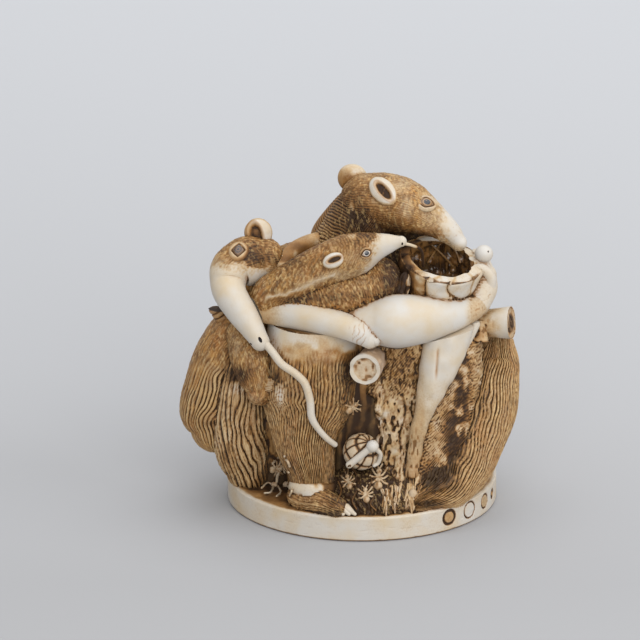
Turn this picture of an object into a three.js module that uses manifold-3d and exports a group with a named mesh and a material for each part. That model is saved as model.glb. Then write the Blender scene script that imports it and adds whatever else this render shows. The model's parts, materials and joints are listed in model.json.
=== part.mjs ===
import * as THREE from 'three';
import { mergeVertices } from 'three/addons/utils/BufferGeometryUtils.js';
import Module from 'manifold-3d';

// A cast figurine box, in millimetres, +Z up. A viewer stands on the -Y side.
// Two castings: the base, which is hollow, and the lid, which lifts straight off along a wavy seam.

const figureHeight = 64.75; // top of the plinth to the top of the far ear
const plinthWidth = 55;
const plinthDepth = 53.6;
const plinthHeight = 5.3;
const plinthEdge = 0.5;

const cavityWidth = 31;
const cavityDepth = 26.6;
const cavityFloor = 6.4; // material left under the cavity
const seamGap = 0.3; // between the two castings, all along the seam
const plugLength = 1.8; // how far the lid's plug reaches into the cavity
const plugWall = 1.7;
const plugClearance = 0.35;
const lidHollow = 2.4; // height of the hollow inside the lid, above the seam
const bowlDepth = 6.2; // the hollow of the tree stump
const barkWall = 1.8; // from the stump's hollow to its outside, at the rim
const markDepth = 0.3; // the round marks cut in the plinth's side
const markLine = 0.7;

// Every carved form below is given in steps: across, towards the viewer, above the plinth, and its radius.
const stepsTall = 92.5;
const step = figureHeight / stepsTall;
const seamLevel = 52.5;
const faceting = 0.26; // how far the facets may leave the true curve, in millimetres
const finest = 0.04; // no facet is smaller than this

const wasm = await Module();
wasm.setup();

function place(across, forward, up) {
  return new THREE.Vector3(across * step, -forward * step, plinthHeight + up * step);
}

function bareGeometry(geometry) {
  geometry.deleteAttribute('normal');
  geometry.deleteAttribute('uv');
  return mergeVertices(geometry, 1e-5);
}

function solidOf(geometry) {
  const vertProperties = new Float32Array(geometry.getAttribute('position').array);
  const triVerts = new Uint32Array(geometry.getIndex().array);
  return new wasm.Manifold(new wasm.Mesh({ numProp: 3, vertProperties, triVerts }));
}

function geometryOf(solid) {
  const mesh = solid.getMesh();
  const geometry = new THREE.BufferGeometry();
  geometry.setAttribute('position', new THREE.BufferAttribute(mesh.vertProperties, 3));
  geometry.setIndex(new THREE.BufferAttribute(mesh.triVerts, 1));
  return geometry;
}

function joined(solids) {
  return solids.reduce((whole, solid) => whole.add(solid));
}

// The same solid with the pockets sealed between its limbs filled, as a poured casting fills them.
function filled(solid) {
  return joined(solid.decompose().filter((shell) => shell.volume() > 0));
}

// Whether two corners of a solid fall on one point, as where two forms only just touch.
function touches(solid) {
  const { vertProperties } = solid.getMesh();
  const corners = new Set();
  for (let i = 0; i < vertProperties.length; i += 3) {
    corners.add([0, 1, 2].map((j) => vertProperties[i + j].toFixed(4)).join());
  }
  return corners.size * 3 < vertProperties.length;
}

// The same casting with facets only as small as the carving needs, and a little finer where forms would touch.
function tidied(solid, coarsest) {
  const whole = solid.asOriginal();
  let tolerance = coarsest;
  let result = filled(whole.simplify(tolerance));
  while (touches(result) && tolerance > coarsest / 3) {
    tolerance *= 0.9;
    result = filled(whole.simplify(tolerance));
  }
  return result;
}

// A repeatable unevenness between -1 and 1.
function uneven(a, b = 0) {
  const wild = Math.sin(a * 12.9898 + b * 78.233) * 43758.5453;
  return 2 * (wild - Math.floor(wild)) - 1;
}

// The rings of a limb: a spline through its stations, with round ends unless it is cut off flat.
function ringsOf(stations, steps, flat, grow) {
  const path = new THREE.CatmullRomCurve3(stations.map(([x, d, z]) => place(x, d, z)), false, 'catmullrom');
  const girth = new THREE.SplineCurve(stations.map((station, i) => new THREE.Vector2(i, station[3] * step)));
  const rings = [];
  for (let i = 0; i <= steps; i += 1) {
    const t = i / steps;
    rings.push({ t, centre: path.getPoint(t), tangent: path.getTangent(t), radius: girth.getPoint(t).y + grow });
  }
  const poles = [rings[0].centre.clone(), rings[steps].centre.clone()];
  if (!flat) {
    for (const [end, sign] of [[rings[0], -1], [rings[steps], 1]]) {
      poles[sign < 0 ? 0 : 1].addScaledVector(end.tangent, sign * end.radius);
      for (const lean of [0.45, 0.95]) {
        const ring = {
          t: end.t,
          centre: end.centre.clone().addScaledVector(end.tangent, sign * end.radius * Math.sin(lean)),
          tangent: end.tangent,
          radius: end.radius * Math.cos(lean),
        };
        if (sign < 0) rings.unshift(ring);
        else rings.push(ring);
      }
    }
  }
  return { rings, poles };
}

// One limb, lock or trunk. depth flattens it from front to back; locks are the furrows along it, furrow their
// share of its radius; ribs are rings across it; turn leads the locks round it; rough makes it uneven.
function limb(stations, look = {}) {
  const {
    sides = 12, steps = 7, depth = 1, locks = 0, furrow = 0.1, ribs = 0, turn = 0, sway = 0,
    rough = 0, flat = false, grow = 0, reference = new THREE.Vector3(0, 1, 0),
  } = look;
  const { rings, poles } = ringsOf(stations, steps, flat, grow);
  const columns = locks ? locks * 2 : sides;
  const rows = rings.length - 1;
  const geometry = bareGeometry(new THREE.CylinderGeometry(1, 1, 1, columns, rows));
  const position = geometry.getAttribute('position');
  for (let i = 0; i < position.count; i += 1) {
    const [x, y, z] = [position.getX(i), position.getY(i), position.getZ(i)];
    const row = Math.round((y + 0.5) * rows);
    const angle = Math.atan2(x, z);
    const column = (Math.round((angle / (2 * Math.PI)) * columns) + columns) % columns;
    const { t, centre, tangent, radius } = rings[row];
    const point = poles[row === 0 ? 0 : 1].clone();
    if (Math.hypot(x, z) > 0.5) {
      const side = new THREE.Vector3().crossVectors(reference, tangent).normalize();
      const front = new THREE.Vector3().crossVectors(tangent, side);
      const parting = locks && column % 2 ? furrow * (1 + 0.5 * uneven(column, locks)) : 0;
      const ring = ribs && row % 2 ? ribs : 0;
      const reach = radius * (1 - parting - ring + rough * uneven(column, row));
      const heading = angle + turn * t + sway * Math.sin(t * Math.PI * 2);
      point.copy(centre);
      point.addScaledVector(side, reach * Math.cos(heading));
      point.addScaledVector(front, reach * depth * Math.sin(heading));
    }
    position.setXYZ(i, point.x, point.y, point.z);
  }
  return solidOf(geometry);
}

// A rounded mass, with its radii across, front to back and upwards in steps.
function mass([x, d, z], [across, deep, tall], segments = 16) {
  const geometry = bareGeometry(new THREE.SphereGeometry(step, segments, Math.round(segments * 0.6)));
  geometry.rotateX(Math.PI / 2);
  geometry.scale(across, deep, tall);
  const centre = place(x, d, z);
  geometry.translate(centre.x, centre.y, centre.z);
  return solidOf(geometry);
}

// An upright oval column in millimetres, such as the cavity or the plug.
function oval(width, depth, bottom, top, forward, sides = 32) {
  const geometry = bareGeometry(new THREE.CylinderGeometry(0.5, 0.5, top - bottom, sides));
  geometry.rotateX(Math.PI / 2);
  geometry.scale(width, depth, 1);
  geometry.translate(0, -forward * step, (top + bottom) / 2);
  return solidOf(geometry);
}

// A rounded dish of an ear: tilt turns its hollow face away from the viewer, lean tips it sideways.
function ear([x, d, z], width, height, tilt, lean, grow = 0) {
  const shape = (wide, thick, tall, forward) => {
    const geometry = bareGeometry(new THREE.SphereGeometry(1, 10, 6));
    geometry.scale(wide, thick, tall);
    geometry.translate(0, -forward, 0);
    geometry.rotateY(lean);
    geometry.rotateZ(tilt);
    const centre = place(x, d, z);
    geometry.translate(centre.x, centre.y, centre.z);
    return solidOf(geometry);
  };
  const [wide, tall] = [width * step, height * step];
  const shell = shape(wide + grow, wide * 0.55 + grow, tall + grow, 0);
  return grow ? shell : shell.subtract(shape(wide * 0.68, wide * 0.5, tall * 0.68, wide * 0.36));
}

// Where a line of sight along +Y meets a solid, as steps towards the viewer.
function faceOf(solid) {
  const mesh = new THREE.Mesh(geometryOf(solid), new THREE.MeshBasicMaterial({ side: THREE.DoubleSide }));
  const ray = new THREE.Raycaster();
  return (across, up) => {
    const from = place(across, stepsTall, up);
    ray.set(from, new THREE.Vector3(0, 1, 0));
    const [hit] = ray.intersectObject(mesh);
    return hit ? -hit.point.y / step : 0;
  };
}

// The seam: level round the cavity, and dipping under the forearm at the front of the wall.
function seamAt(x, y) {
  const across = x / step;
  const forward = -y / step;
  const spread = across < 8 ? 9 : 14;
  const dip = 5.7 * Math.exp(-(((across - 8) / spread) ** 2));
  const outward = THREE.MathUtils.smoothstep(forward, cavityDepth / (2 * step) - 3, cavityDepth / (2 * step) + 3);
  return plinthHeight + (seamLevel - dip * outward) * step;
}

// Everything below the seam, with the seam moved up by the given amount.
function belowSeam(shift) {
  const reach = figureHeight;
  const geometry = bareGeometry(new THREE.BoxGeometry(2 * reach, 2 * reach, 2, 36, 36, 1));
  const position = geometry.getAttribute('position');
  for (let i = 0; i < position.count; i += 1) {
    const top = seamAt(position.getX(i), position.getY(i)) + shift;
    position.setZ(i, position.getZ(i) > 0 ? top : -reach);
  }
  return solidOf(geometry);
}

// Plinth

function makePlinth() {
  const profile = new THREE.Path();
  profile.moveTo(0, 0);
  profile.lineTo(1 - plinthEdge / plinthWidth, 0);
  profile.lineTo(1, plinthEdge);
  profile.lineTo(1, plinthHeight - plinthEdge);
  profile.lineTo(1 - (2 * plinthEdge) / plinthWidth, plinthHeight);
  profile.lineTo(0, plinthHeight);
  const geometry = bareGeometry(new THREE.LatheGeometry(profile.getPoints(1), 48));
  geometry.rotateX(Math.PI / 2);
  geometry.scale(plinthWidth / 2, plinthDepth / 2, 1);
  return solidOf(geometry);
}

// A round mark let into the plinth's side: a ring of the given diameter, or a plain disc.
function plinthMark(bearing, diameter, ring) {
  const disc = (across) => {
    const geometry = bareGeometry(new THREE.CylinderGeometry(across / 2, across / 2, 2 * markDepth, 18));
    const x = (plinthWidth / 2) * Math.sin(bearing);
    const y = (-plinthDepth / 2) * Math.cos(bearing);
    geometry.rotateZ(bearing);
    geometry.translate(x, y, plinthHeight / 2);
    return solidOf(geometry);
  };
  return ring ? disc(diameter).subtract(disc(diameter - 2 * markLine)) : disc(diameter);
}

// Base: the body of the box with its front limbs, trunk and tails

function baseCore() {
  return limb([[1, -3, -3, 29], [1, -3, 14, 30], [0, -3, 34, 30], [0, -3, 60, 29]],
    { sides: 20, steps: 4, depth: 0.85, flat: true });
}

function baseFlank() {
  return [
    limb([[-13.5, 12, 60, 13], [-13, 13, 50, 14.5], [-14, 15, 40, 14.6], [-15.6, 17, 28, 13.8], [-16.5, 21, 18, 9.5],
      [-14.8, 25, 9, 6.8], [-14.5, 27, 2, 6]], { locks: 14, steps: 5, furrow: 0.1, sway: 0.08 }),
    limb([[-14.4, 26.2, 7.4, 6.4], [-14.4, 26.6, 5.4, 6.9], [-14.3, 27, 3, 6.6]], { sides: 16, steps: 3, flat: true }),
    limb([[-17, 27, 2.6, 4.8], [-12, 31.5, 2.4, 4.4], [-7.5, 34.6, 1.6, 3.4]], { locks: 8, steps: 4 }),
    ...[0, 1, 2].map((i) => limb([[-8.2 + 1.7 * i, 35.4, 2.6 - 0.3 * i, 1.3], [-5.6 + 1.7 * i, 37, 0.6, 0.5]],
      { sides: 5, steps: 1 })),
  ];
}

function baseLeftBody() {
  return [
    limb([[-26, -2, 3, 13], [-28, -2, 22, 16], [-27, -2, 40, 14], [-28, -1, 49, 10]], { sides: 12, steps: 3, depth: 1.05 }),
    limb([[-33, 10, 46, 6.5], [-31.5, 16, 41, 6.8], [-30.2, 19, 35.5, 5.8], [-29.6, 20, 32.5, 4.4]], { locks: 7 }),
    limb([[-29.5, 19, 34, 3.8], [-25, 21.6, 35.5, 3.4], [-21, 22.6, 38, 2.8]], { sides: 8, steps: 3 }),
    limb([[-31, 3, 50, 6], [-36.5, 4, 45, 7.5], [-40.5, 4, 37, 8.5], [-42.5, 4, 29, 9], [-43.7, 4, 20.5, 9.5],
      [-42.6, 5, 15.6, 7.4]], { locks: 13, steps: 6, furrow: 0.12, turn: 0.5 }),
    limb([[-33.5, 8, 39, 5.6], [-34.6, 10.5, 29, 7.2], [-35.2, 10, 18, 8.2], [-34.6, 9, 9.5, 8], [-33, 8.5, 4, 6.6]],
      { locks: 10, steps: 5, furrow: 0.18, sway: 0.14 }),
    limb([[-45, 4, 57.5, 2.4], [-43, 5, 54, 2.6], [-40, 5, 50, 3]], { sides: 6, steps: 6, ribs: 0.14 }),
  ];
}

// The left animal's head stands beside the lid, so the lid is cut clear of these by the seam gap.
function baseHead(grow = 0) {
  return [
    limb([[-29, -2, 44, 9], [-34, 0, 54, 7.4], [-35.5, 3, 62, 7.2]], { sides: 10, steps: 3, grow }),
    limb([[-29, 4, 67, 6.6], [-33.8, 6, 67.2, 7.3], [-38, 9, 65.8, 6.2], [-39, 12, 62.5, 5.2], [-38, 15.5, 60, 4.7],
      [-34.5, 18.5, 55.4, 4.2], [-31.6, 21.5, 51.6, 3.3], [-29.6, 23.2, 48.8, 2.7]],
    { sides: 14, steps: 10, grow, reference: new THREE.Vector3(0, 0.6, 0.8) }),
    ear([-30.2, 2, 75.4], 4.3, 4, -0.25, 0.1, grow),
  ];
}

function baseTongue() {
  return limb([[-28.4, 24, 48.9, 1.15], [-26, 25.8, 46.4, 1.15], [-23.3, 27.6, 43.4, 1.15], [-19.3, 29.2, 41, 1.15],
    [-16.6, 30, 38.2, 1.15], [-15.2, 30.6, 33.4, 1.15], [-14.7, 31, 28.4, 1.1], [-12.9, 30.8, 24.8, 0.95],
    [-10.3, 30, 21.4, 0.9], [-8, 28.6, 19, 0.85]], { sides: 8, steps: 13 });
}

function baseTrunk() {
  return [
    limb([[9, 9, -3, 18], [9, 10, 10, 15], [10, 10.5, 30, 13.5], [12, 10.5, 60, 13.5]],
      { sides: 20, steps: 8, rough: 0.035, flat: true }),
    mass([3, 20, -2], [17, 16, 13], 12),
    limb([[4, 18, 42.8, 3.7], [0.6, 33, 44.4, 3.9]], { sides: 16, steps: 2, flat: true, reference: up() })
      .subtract(limb([[0.75, 32.5, 44.35, 2.9], [0.5, 34, 44.5, 3]], { sides: 16, steps: 1, flat: true, reference: up() })),
    limb([[3.6, 18, 36, 3.4], [4, 22.5, 31.5, 2.8], [4.1, 24.6, 27, 1.7]], { sides: 8, steps: 4 }),
    limb([[12, 21.5, 14, 3], [11, 25, 6, 3.2], [10.5, 29, 0, 3.4]], { locks: 5, steps: 4, furrow: 0.2 }),
    limb([[16.5, 21, 14, 2.4], [15.5, 26, 5, 3], [14, 30, 0, 3.2]], { locks: 5, steps: 4, furrow: 0.2 }),
  ];
}

function up() {
  return new THREE.Vector3(0, 0, 1);
}

// The smooth limb that hangs under the forearm, the furry mass beside it and the thin edge between them.
function baseWedge() {
  return [
    limb([[23, 9, 56, 10.5], [24, 11, 40, 11], [22, 13, 22, 11], [20, 15, 2, 11]], { sides: 9, steps: 3 }),
    limb([[25.5, 19.5, 56, 7], [25, 20.5, 52, 7], [23, 23, 44, 6.1], [20, 25, 35, 4.3], [17.8, 25.6, 28, 2.6],
      [15.8, 25.8, 20, 1.9], [14.5, 26.4, 9, 1.6]], { steps: 9, depth: 0.72 }),
    limb([[32.8, 16, 51.5, 1.3], [29, 19, 44, 1.1], [26.4, 20.6, 37.4, 0.9]], { sides: 6, steps: 4 }),
  ];
}

function baseLog(grow = 0) {
  return [
    limb([[31, 9, 48.6, 4.2], [35, 9.6, 49.2, 4.2], [39, 10.4, 49.8, 4.4], [43.3, 11.6, 50.3, 4.9]],
      { sides: 14, steps: 4, flat: true, grow }),
    limb([[34.2, 13.5, 51.5, 0.8], [34, 15, 46, 2.8]], { sides: 6, steps: 2, flat: true, grow }),
  ];
}

// The bushy tail sweeps down and forward in two overlapping swathes.
function baseRightTail() {
  return [
    limb([[40.2, 2, 42.5, 3.6], [39.8, 4, 36.4, 5.9], [38.4, 6.5, 32, 7.5], [36.4, 9.5, 23, 8.6], [32.8, 14, 15, 8.6],
      [29.2, 19, 9, 8.4], [24.5, 24.5, 4, 6.6], [17, 30, 1.4, 3.2]],
    { locks: 14, steps: 8, furrow: 0.13, turn: -0.6, sway: 0.06 }),
    limb([[36.5, 7, 39, 3.6], [33.5, 10, 31, 5.6], [30, 14, 22, 6.2], [26, 18.5, 14, 6], [21, 23.5, 7, 5],
      [15, 28, 2, 3]], { locks: 9, steps: 5, furrow: 0.13, turn: -0.5 }),
  ];
}

// The far side, which the front view hides: backs, haunches, feet and a mane, plainer than the front.
function baseBack() {
  return [
    limb([[1, -11, 60, 17], [2, -12, 40, 19], [2, -12, 20, 20], [1, -11, 2, 18]], { locks: 8, steps: 3, depth: 0.88 }),
    limb([[23, -8, 44, 9], [25, -10, 30, 13], [25, -11, 18, 12.5], [23, -12, 3, 9]], { locks: 7, steps: 3 }),
    limb([[-22, -8, 44, 9], [-24, -11, 30, 13], [-24, -12, 17, 12.5], [-22, -12, 3, 9]], { locks: 7, steps: 3 }),
    limb([[0, -24, 58, 4.4], [0, -27.5, 44, 4.6], [0, -29, 28, 4.4], [0, -28.4, 12, 4], [0, -28, 4, 3.4]],
      { sides: 5, steps: 14, ribs: 0.12 }),
    ...[-1, 1].map((side) => limb([[17 * side, -18, 2.6, 5], [13 * side, -25, 2.2, 4.4], [9.5 * side, -30, 1.6, 3.2]],
      { sides: 8, steps: 3 })),
  ];
}

// Small forms set on the finished front: the gridded ball and its bar, and the ants.

function griddedBall(radius, columns, rows) {
  const [wide, high] = [columns * 3, rows * 2];
  const geometry = bareGeometry(new THREE.SphereGeometry(1, wide, high));
  const position = geometry.getAttribute('position');
  const point = new THREE.Vector3();
  for (let i = 0; i < position.count; i += 1) {
    point.fromBufferAttribute(position, i);
    const column = Math.round((Math.atan2(point.z, point.x) / (2 * Math.PI)) * wide + wide) % 3;
    const row = Math.round((Math.acos(THREE.MathUtils.clamp(point.y, -1, 1)) / Math.PI) * high) % 2;
    point.multiplyScalar(radius * step * (column === 0 || row === 0 ? 0.92 : 1));
    position.setXYZ(i, point.x, point.y, point.z);
  }
  geometry.rotateX(1.1);
  geometry.rotateY(0.5);
  const centre = place(-0.3, 26.5, 16);
  geometry.translate(centre.x, centre.y, centre.z);
  return solidOf(geometry);
}

function baseBall() {
  return [
    griddedBall(5.4, 6, 5),
    limb([[-3.8, 31.6, 13.8, 1], [2.4, 32.2, 19.4, 1]], { sides: 6, steps: 1 }),
    mass([2.9, 32.2, 19.8], [1.8, 1.8, 1.8], 8),
    limb([[3.6, 30.6, 18.6, 0.7], [5.2, 29.6, 16.4, 0.7], [4.6, 29, 13.6, 0.7], [3.4, 29.4, 12.8, 0.6]],
      { sides: 5, steps: 4 }),
  ];
}

// An ant on the face of the base: two round parts and bent legs on both sides.
function ant(face, [x, z], heading, size) {
  const at = (along, aside, lift) => {
    const across = x + size * (along * Math.cos(heading) - aside * Math.sin(heading));
    const above = z + size * (along * Math.sin(heading) + aside * Math.cos(heading));
    return [across, face(across, above) + lift * size, above];
  };
  const legs = [-1, 1].flatMap((side) => [-0.7, 0.5].map((lean) => limb(
    [[...at(0.3, 0, 0.3), 0.5 * size], [...at(0.3 + lean, 1.3 * side, 0.9), 0.34 * size],
      [...at(0.3 + 1.9 * lean, 2.5 * side, 0), 0.4 * size]], { sides: 3, steps: 2, flat: true },
  )));
  return [
    mass(at(1.3, 0, 0.5), [0.95 * size, 0.95 * size, 0.95 * size], 5),
    mass(at(-1.3, 0, 0.5), [1.2 * size, 1.2 * size, 1.5 * size], 5),
    limb([[...at(1.3, 0, 0.4), 0.6 * size], [...at(-0.9, 0, 0.4), 0.6 * size]], { sides: 4, steps: 1, flat: true }),
    ...legs,
  ];
}

function baseAnts(face) {
  return [
    ...ant(face, [4.7, 9.4], 1.5, 1.15),
    ...ant(face, [1, 5.6], 1.7, 0.95),
    ...ant(face, [-4, 8.4], 1.9, 0.9),
    ...ant(face, [-3, 29], 0.6, 1),
    ...ant(face, [-25, 5.2], 0.15, 1),
  ];
}

// Lid: the large animal's back, neck and head, the young one, the arms, the hand and the hollow stump

function lidBack() {
  return [
    mass([0, -4, 49], [29, 24.5, 20.5], 18),
    mass([-19, -6, 51], [13, 17, 17], 12),
    mass([-4, 10, 58], [13, 14, 12], 12),
    mass([15, -5, 65], [13, 8, 11], 12),
    limb([[-8, -6, 58, 13], [-3.8, -3, 69, 10.6], [0, -1, 77.5, 9.8], [3.4, 0, 82.5, 9]], { locks: 10, steps: 5, furrow: 0.07 }),
    limb([[2.6, -4, 87.4, 2.8], [-3, -3, 83.4, 3.4], [-7.4, -4, 77.6, 3.8], [-11, -8, 70.4, 4], [-10, -16, 64, 4],
      [-5, -22, 57, 4.2], [-2, -24.5, 50, 4.2]], { sides: 6, steps: 26, ribs: 0.12 }),
    limb([[-23.4, 8, 66.5, 2.2], [-20.2, 4, 70, 2.2], [-14, 0, 71.4, 2.4], [-9, -1, 70, 3]], { sides: 8, steps: 4 }),
  ];
}

function lidHead() {
  return [
    limb([[1.8, 0, 83.6, 8.3], [8.5, 1.6, 83.6, 8.6], [13, 3.4, 82.9, 7.8], [17.5, 5, 81.2, 6.2], [22, 6.2, 78.9, 4.5],
      [25.4, 6.8, 76.2, 3.5], [27.8, 7.4, 73.6, 2.5]], { sides: 14, steps: 10 }),
    ear([5, 8.4, 88.6], 4.6, 4.1, 0.15, 0.75),
    ear([-2.9, -5, 89], 4.2, 4.2, 0.1, -0.4),
    mass([18, 10.2, 84.2], [1.9, 0.9, 1.6], 10),
  ];
}

function lidYoung() {
  return [
    limb([[-30, 11.5, 56, 4.6], [-26.4, 13, 58.4, 6.6], [-18.2, 15.6, 64.2, 7.1], [-8.5, 17.6, 70.8, 6.9],
      [-1.8, 19.4, 74.4, 6.3], [3.5, 21.4, 77.2, 4.2], [7.6, 22.6, 78.7, 2.8], [11.1, 23.6, 79.7, 1.6]],
    { sides: 13, steps: 12 }),
    limb([[-28, 12, 54, 6], [-18, 15.6, 57.5, 7.4], [-7, 18, 61, 7.6], [4, 16, 64, 8]], { sides: 10, steps: 5 }),
    ear([-7.4, 23.4, 74.6], 2.5, 2.3, 0.1, 0.9),
    mass([1, 24.7, 76.6], [1.3, 0.8, 1.2], 8),
    limb([[11.5, 23.8, 79.2, 0.6], [14.5, 22.6, 78, 0.55], [17, 20, 75.5, 0.6], [17.5, 17.5, 70, 0.7]],
      { sides: 6, steps: 6 }),
  ];
}

function lidArms() {
  const fingers = [0, 1, 2, 3].map((i) => limb(
    [[36.6 - 0.3 * i, 11.5 - 2.4 * i, 60 + i, 1.7], [37 - 0.5 * i, 11.4 - 2.6 * i, 64 + 0.8 * i, 1.7],
      [34.6 - 0.6 * i, 11.6 - 2.6 * i, 67 + 0.6 * i, 1.5], [31.4, 11.4 - 2.4 * i, 66.6, 1.2]],
    { sides: 6, steps: 4 },
  ));
  return [
    limb([[-29, 14, 54.6, 4.2], [-18.2, 21.4, 56.2, 4.3], [-8.5, 26, 55.4, 4.1], [-1.6, 28.4, 53.6, 3.8],
      [1.6, 28.8, 51.6, 3]], { sides: 10, steps: 7 }),
    ...[0, 1, 2].map((i) => limb([[-0.6 + 1.5 * i, 29.4, 54.4 - i, 1.5], [1 + 1.4 * i, 31, 50.6 - 0.5 * i, 1.2],
      [1.4 + 1.4 * i, 30.4, 48.6 - 0.2 * i, 0.8]], { sides: 5, steps: 2 })),
    limb([[-9, 22, 53, 3], [-2, 23.6, 54.3, 4.8], [3.8, 24, 55, 6.6], [9.4, 24.4, 55.5, 7.9], [17, 22.8, 55.6, 7.1],
      [24.3, 19.8, 55.5, 5.6], [30.2, 15.6, 55.8, 4.3], [33.4, 12.6, 56.8, 3.7]], { sides: 14, steps: 9 }),
    limb([[33.4, 12.6, 57, 3.8], [35.2, 10, 60.5, 4], [35.6, 8.6, 64, 3.4]], { sides: 10, steps: 4 }),
    ...fingers,
  ];
}

// The stump's upper part leans towards the viewer, so its far rim stands higher.
const stumpTop = [22.8, 12.4, 70.4];
const stumpLean = 0.28;
const bowlRadius = 9.6;

function lidStump() {
  const rimRadius = bowlRadius + barkWall / step;
  const [x, d, z] = stumpTop;
  const rim = limb([[x - 1, d - 1.2, z - 4.4, rimRadius + 0.3], [x, d, z, rimRadius]],
    { locks: 10, steps: 2, furrow: 0.08, flat: true });
  const trunk = limb([[17, 8, 44, 14], [19.5, 9.4, 54, 13.2], [21.4, 10.8, 62, 12], [x, d, z - 0.4, rimRadius - 0.7]],
    { sides: 18, steps: 5, rough: 0.03, flat: true });
  const strands = [0, 1, 2].map((i) => limb([[12.6 - 2.4 * i, 19 - 2 * i, 67 - 2 * i, 1.6],
    [11 - 2.2 * i, 20.5 - 1.4 * i, 60, 1.8], [10 - 2 * i, 20, 54, 1.8]], { sides: 6, steps: 3 }));
  return [trunk, rim, ...strands];
}

function stumpBowl() {
  const [x, d, z] = stumpTop;
  const deep = bowlDepth / step;
  const above = 6;
  const geometry = bareGeometry(new THREE.CylinderGeometry(bowlRadius + 0.4, bowlRadius - 2, deep + above, 18, 1));
  geometry.rotateX(Math.PI / 2);
  geometry.translate(0, 0, (above - deep) / 2);
  geometry.scale(step, step, step);
  geometry.rotateX(stumpLean);
  const centre = place(x, d, z);
  geometry.translate(centre.x, centre.y, centre.z);
  return solidOf(geometry);
}

// The second adult's snout tip, which rises beside the hand from the back.
function lidSnoutTip() {
  return [
    limb([[24, -6, 50, 8], [31, -2, 58, 4.6], [34.4, 4, 64, 2.6], [35.1, 8, 67.6, 1.7], [35.2, 8.6, 69.6, 2]],
      { sides: 10, steps: 8 }),
    mass([35.2, 8.8, 70.6], [2.7, 2.7, 2.6], 12),
  ];
}

const cavityForward = -3;
const seamHeight = plinthHeight + seamLevel * step;

function makeBase() {
  const below = belowSeam(-seamGap / 2);
  const body = joined([baseCore(), ...baseFlank(), ...baseLeftBody(), ...baseTrunk(), ...baseWedge(), ...baseBack()]);
  const outside = joined([...baseLog(), ...baseRightTail(), ...baseHead(), baseTongue()]);
  const standing = joined([body.intersect(below), outside])
    .subtract(oval(2 * plinthWidth, 2 * plinthDepth, -figureHeight, plinthHeight / 2, 0));
  const wall = tidied(standing, faceting).add(makePlinth());
  const marked = wall
    .subtract(plinthMark(0.7, 0.68 * plinthHeight, true))
    .subtract(plinthMark(0.92, 0.72 * plinthHeight, true))
    .subtract(plinthMark(1.14, 0.62 * plinthHeight, false));
  return joined([marked, ...baseBall(), ...baseAnts(faceOf(wall))])
    .subtract(oval(cavityWidth, cavityDepth, cavityFloor, figureHeight, cavityForward));
}

function makeLid() {
  const below = belowSeam(seamGap / 2);
  const hollowed = joined([...lidBack(), ...lidArms(), ...lidStump(), ...lidSnoutTip()]).subtract(stumpBowl());
  const forms = joined([hollowed, ...lidHead(), ...lidYoung()]);
  const room = seamGap + faceting;
  const neighbours = joined([...baseHead(room), ...baseLog(room)]);
  const cut = tidied(forms.subtract(below).subtract(neighbours), faceting);
  const [plugWidth, plugDeep] = [cavityWidth - 2 * plugClearance, cavityDepth - 2 * plugClearance];
  const hollow = oval(plugWidth - 2 * plugWall, plugDeep - 2 * plugWall, 0, seamHeight + lidHollow, cavityForward);
  const plug = oval(plugWidth, plugDeep, seamHeight - plugLength, seamHeight + lidHollow / 2, cavityForward);
  return cut.add(plug).subtract(hollow);
}

function namedMesh(name, solid, colour) {
  const material = new THREE.MeshStandardMaterial({ color: colour, roughness: 0.45, metalness: 0 });
  const mesh = new THREE.Mesh(geometryOf(tidied(solid, finest)), material);
  mesh.name = name;
  return mesh;
}

const figurine = new THREE.Group();
figurine.add(namedMesh('base', makeBase(), 0xb59668));
figurine.add(namedMesh('lid', makeLid(), 0xc9b190));

export default figurine;
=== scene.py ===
import json
import math
import time
from types import SimpleNamespace
import bpy
import numpy as np
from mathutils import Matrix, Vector

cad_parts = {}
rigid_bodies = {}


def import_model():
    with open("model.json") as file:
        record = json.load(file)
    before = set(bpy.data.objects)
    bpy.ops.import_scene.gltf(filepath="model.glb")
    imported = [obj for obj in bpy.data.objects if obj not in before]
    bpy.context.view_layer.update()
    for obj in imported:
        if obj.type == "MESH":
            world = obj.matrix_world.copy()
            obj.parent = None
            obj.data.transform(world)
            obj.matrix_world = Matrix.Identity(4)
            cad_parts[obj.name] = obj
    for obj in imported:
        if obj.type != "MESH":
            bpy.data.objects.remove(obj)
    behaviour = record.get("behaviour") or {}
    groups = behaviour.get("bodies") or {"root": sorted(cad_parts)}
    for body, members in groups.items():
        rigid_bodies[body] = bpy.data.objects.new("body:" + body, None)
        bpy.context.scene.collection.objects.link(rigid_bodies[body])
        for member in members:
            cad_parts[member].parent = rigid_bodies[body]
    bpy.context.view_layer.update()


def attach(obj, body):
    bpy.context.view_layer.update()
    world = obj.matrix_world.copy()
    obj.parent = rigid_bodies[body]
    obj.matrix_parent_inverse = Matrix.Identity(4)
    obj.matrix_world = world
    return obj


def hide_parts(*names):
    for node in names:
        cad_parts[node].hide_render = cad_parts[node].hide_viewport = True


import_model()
started = time.time()

# All carving is worked out in millimetres and scaled to metres once, at the end.
millimetre = 0.001
figurine = {"height": 64.75, "stepsTall": 92.5, "seamLevel": 52.5, "seamGap": 0.3}
plinth = {"width": 55, "depth": 53.6, "height": 5.3, "edge": 0.5, "markDepth": 0.28, "scuff": 0.05}
hollows = {"width": 31, "depth": 26.6, "floor": 6.4, "forward": -3, "plugLength": 1.8, "plugWall": 1.7,
           "plugClearance": 0.35, "lidHollow": 2.4, "bowlDepth": 6.2, "bowlRadius": 9.6, "barkWall": 1.8}
step = figurine["height"] / figurine["stepsTall"]
picture = {"column": 362, "row": 495, "across": 0.293, "up": 0.3117, "lift": 7.57, "lean": 0.364,
           "millimetres": 0.205, "elevation": 20, "pixels": 640, "standOff": 90}


# Numbers and noise

def told(*words):
    print(*words, round(time.time() - started, 1))


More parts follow.
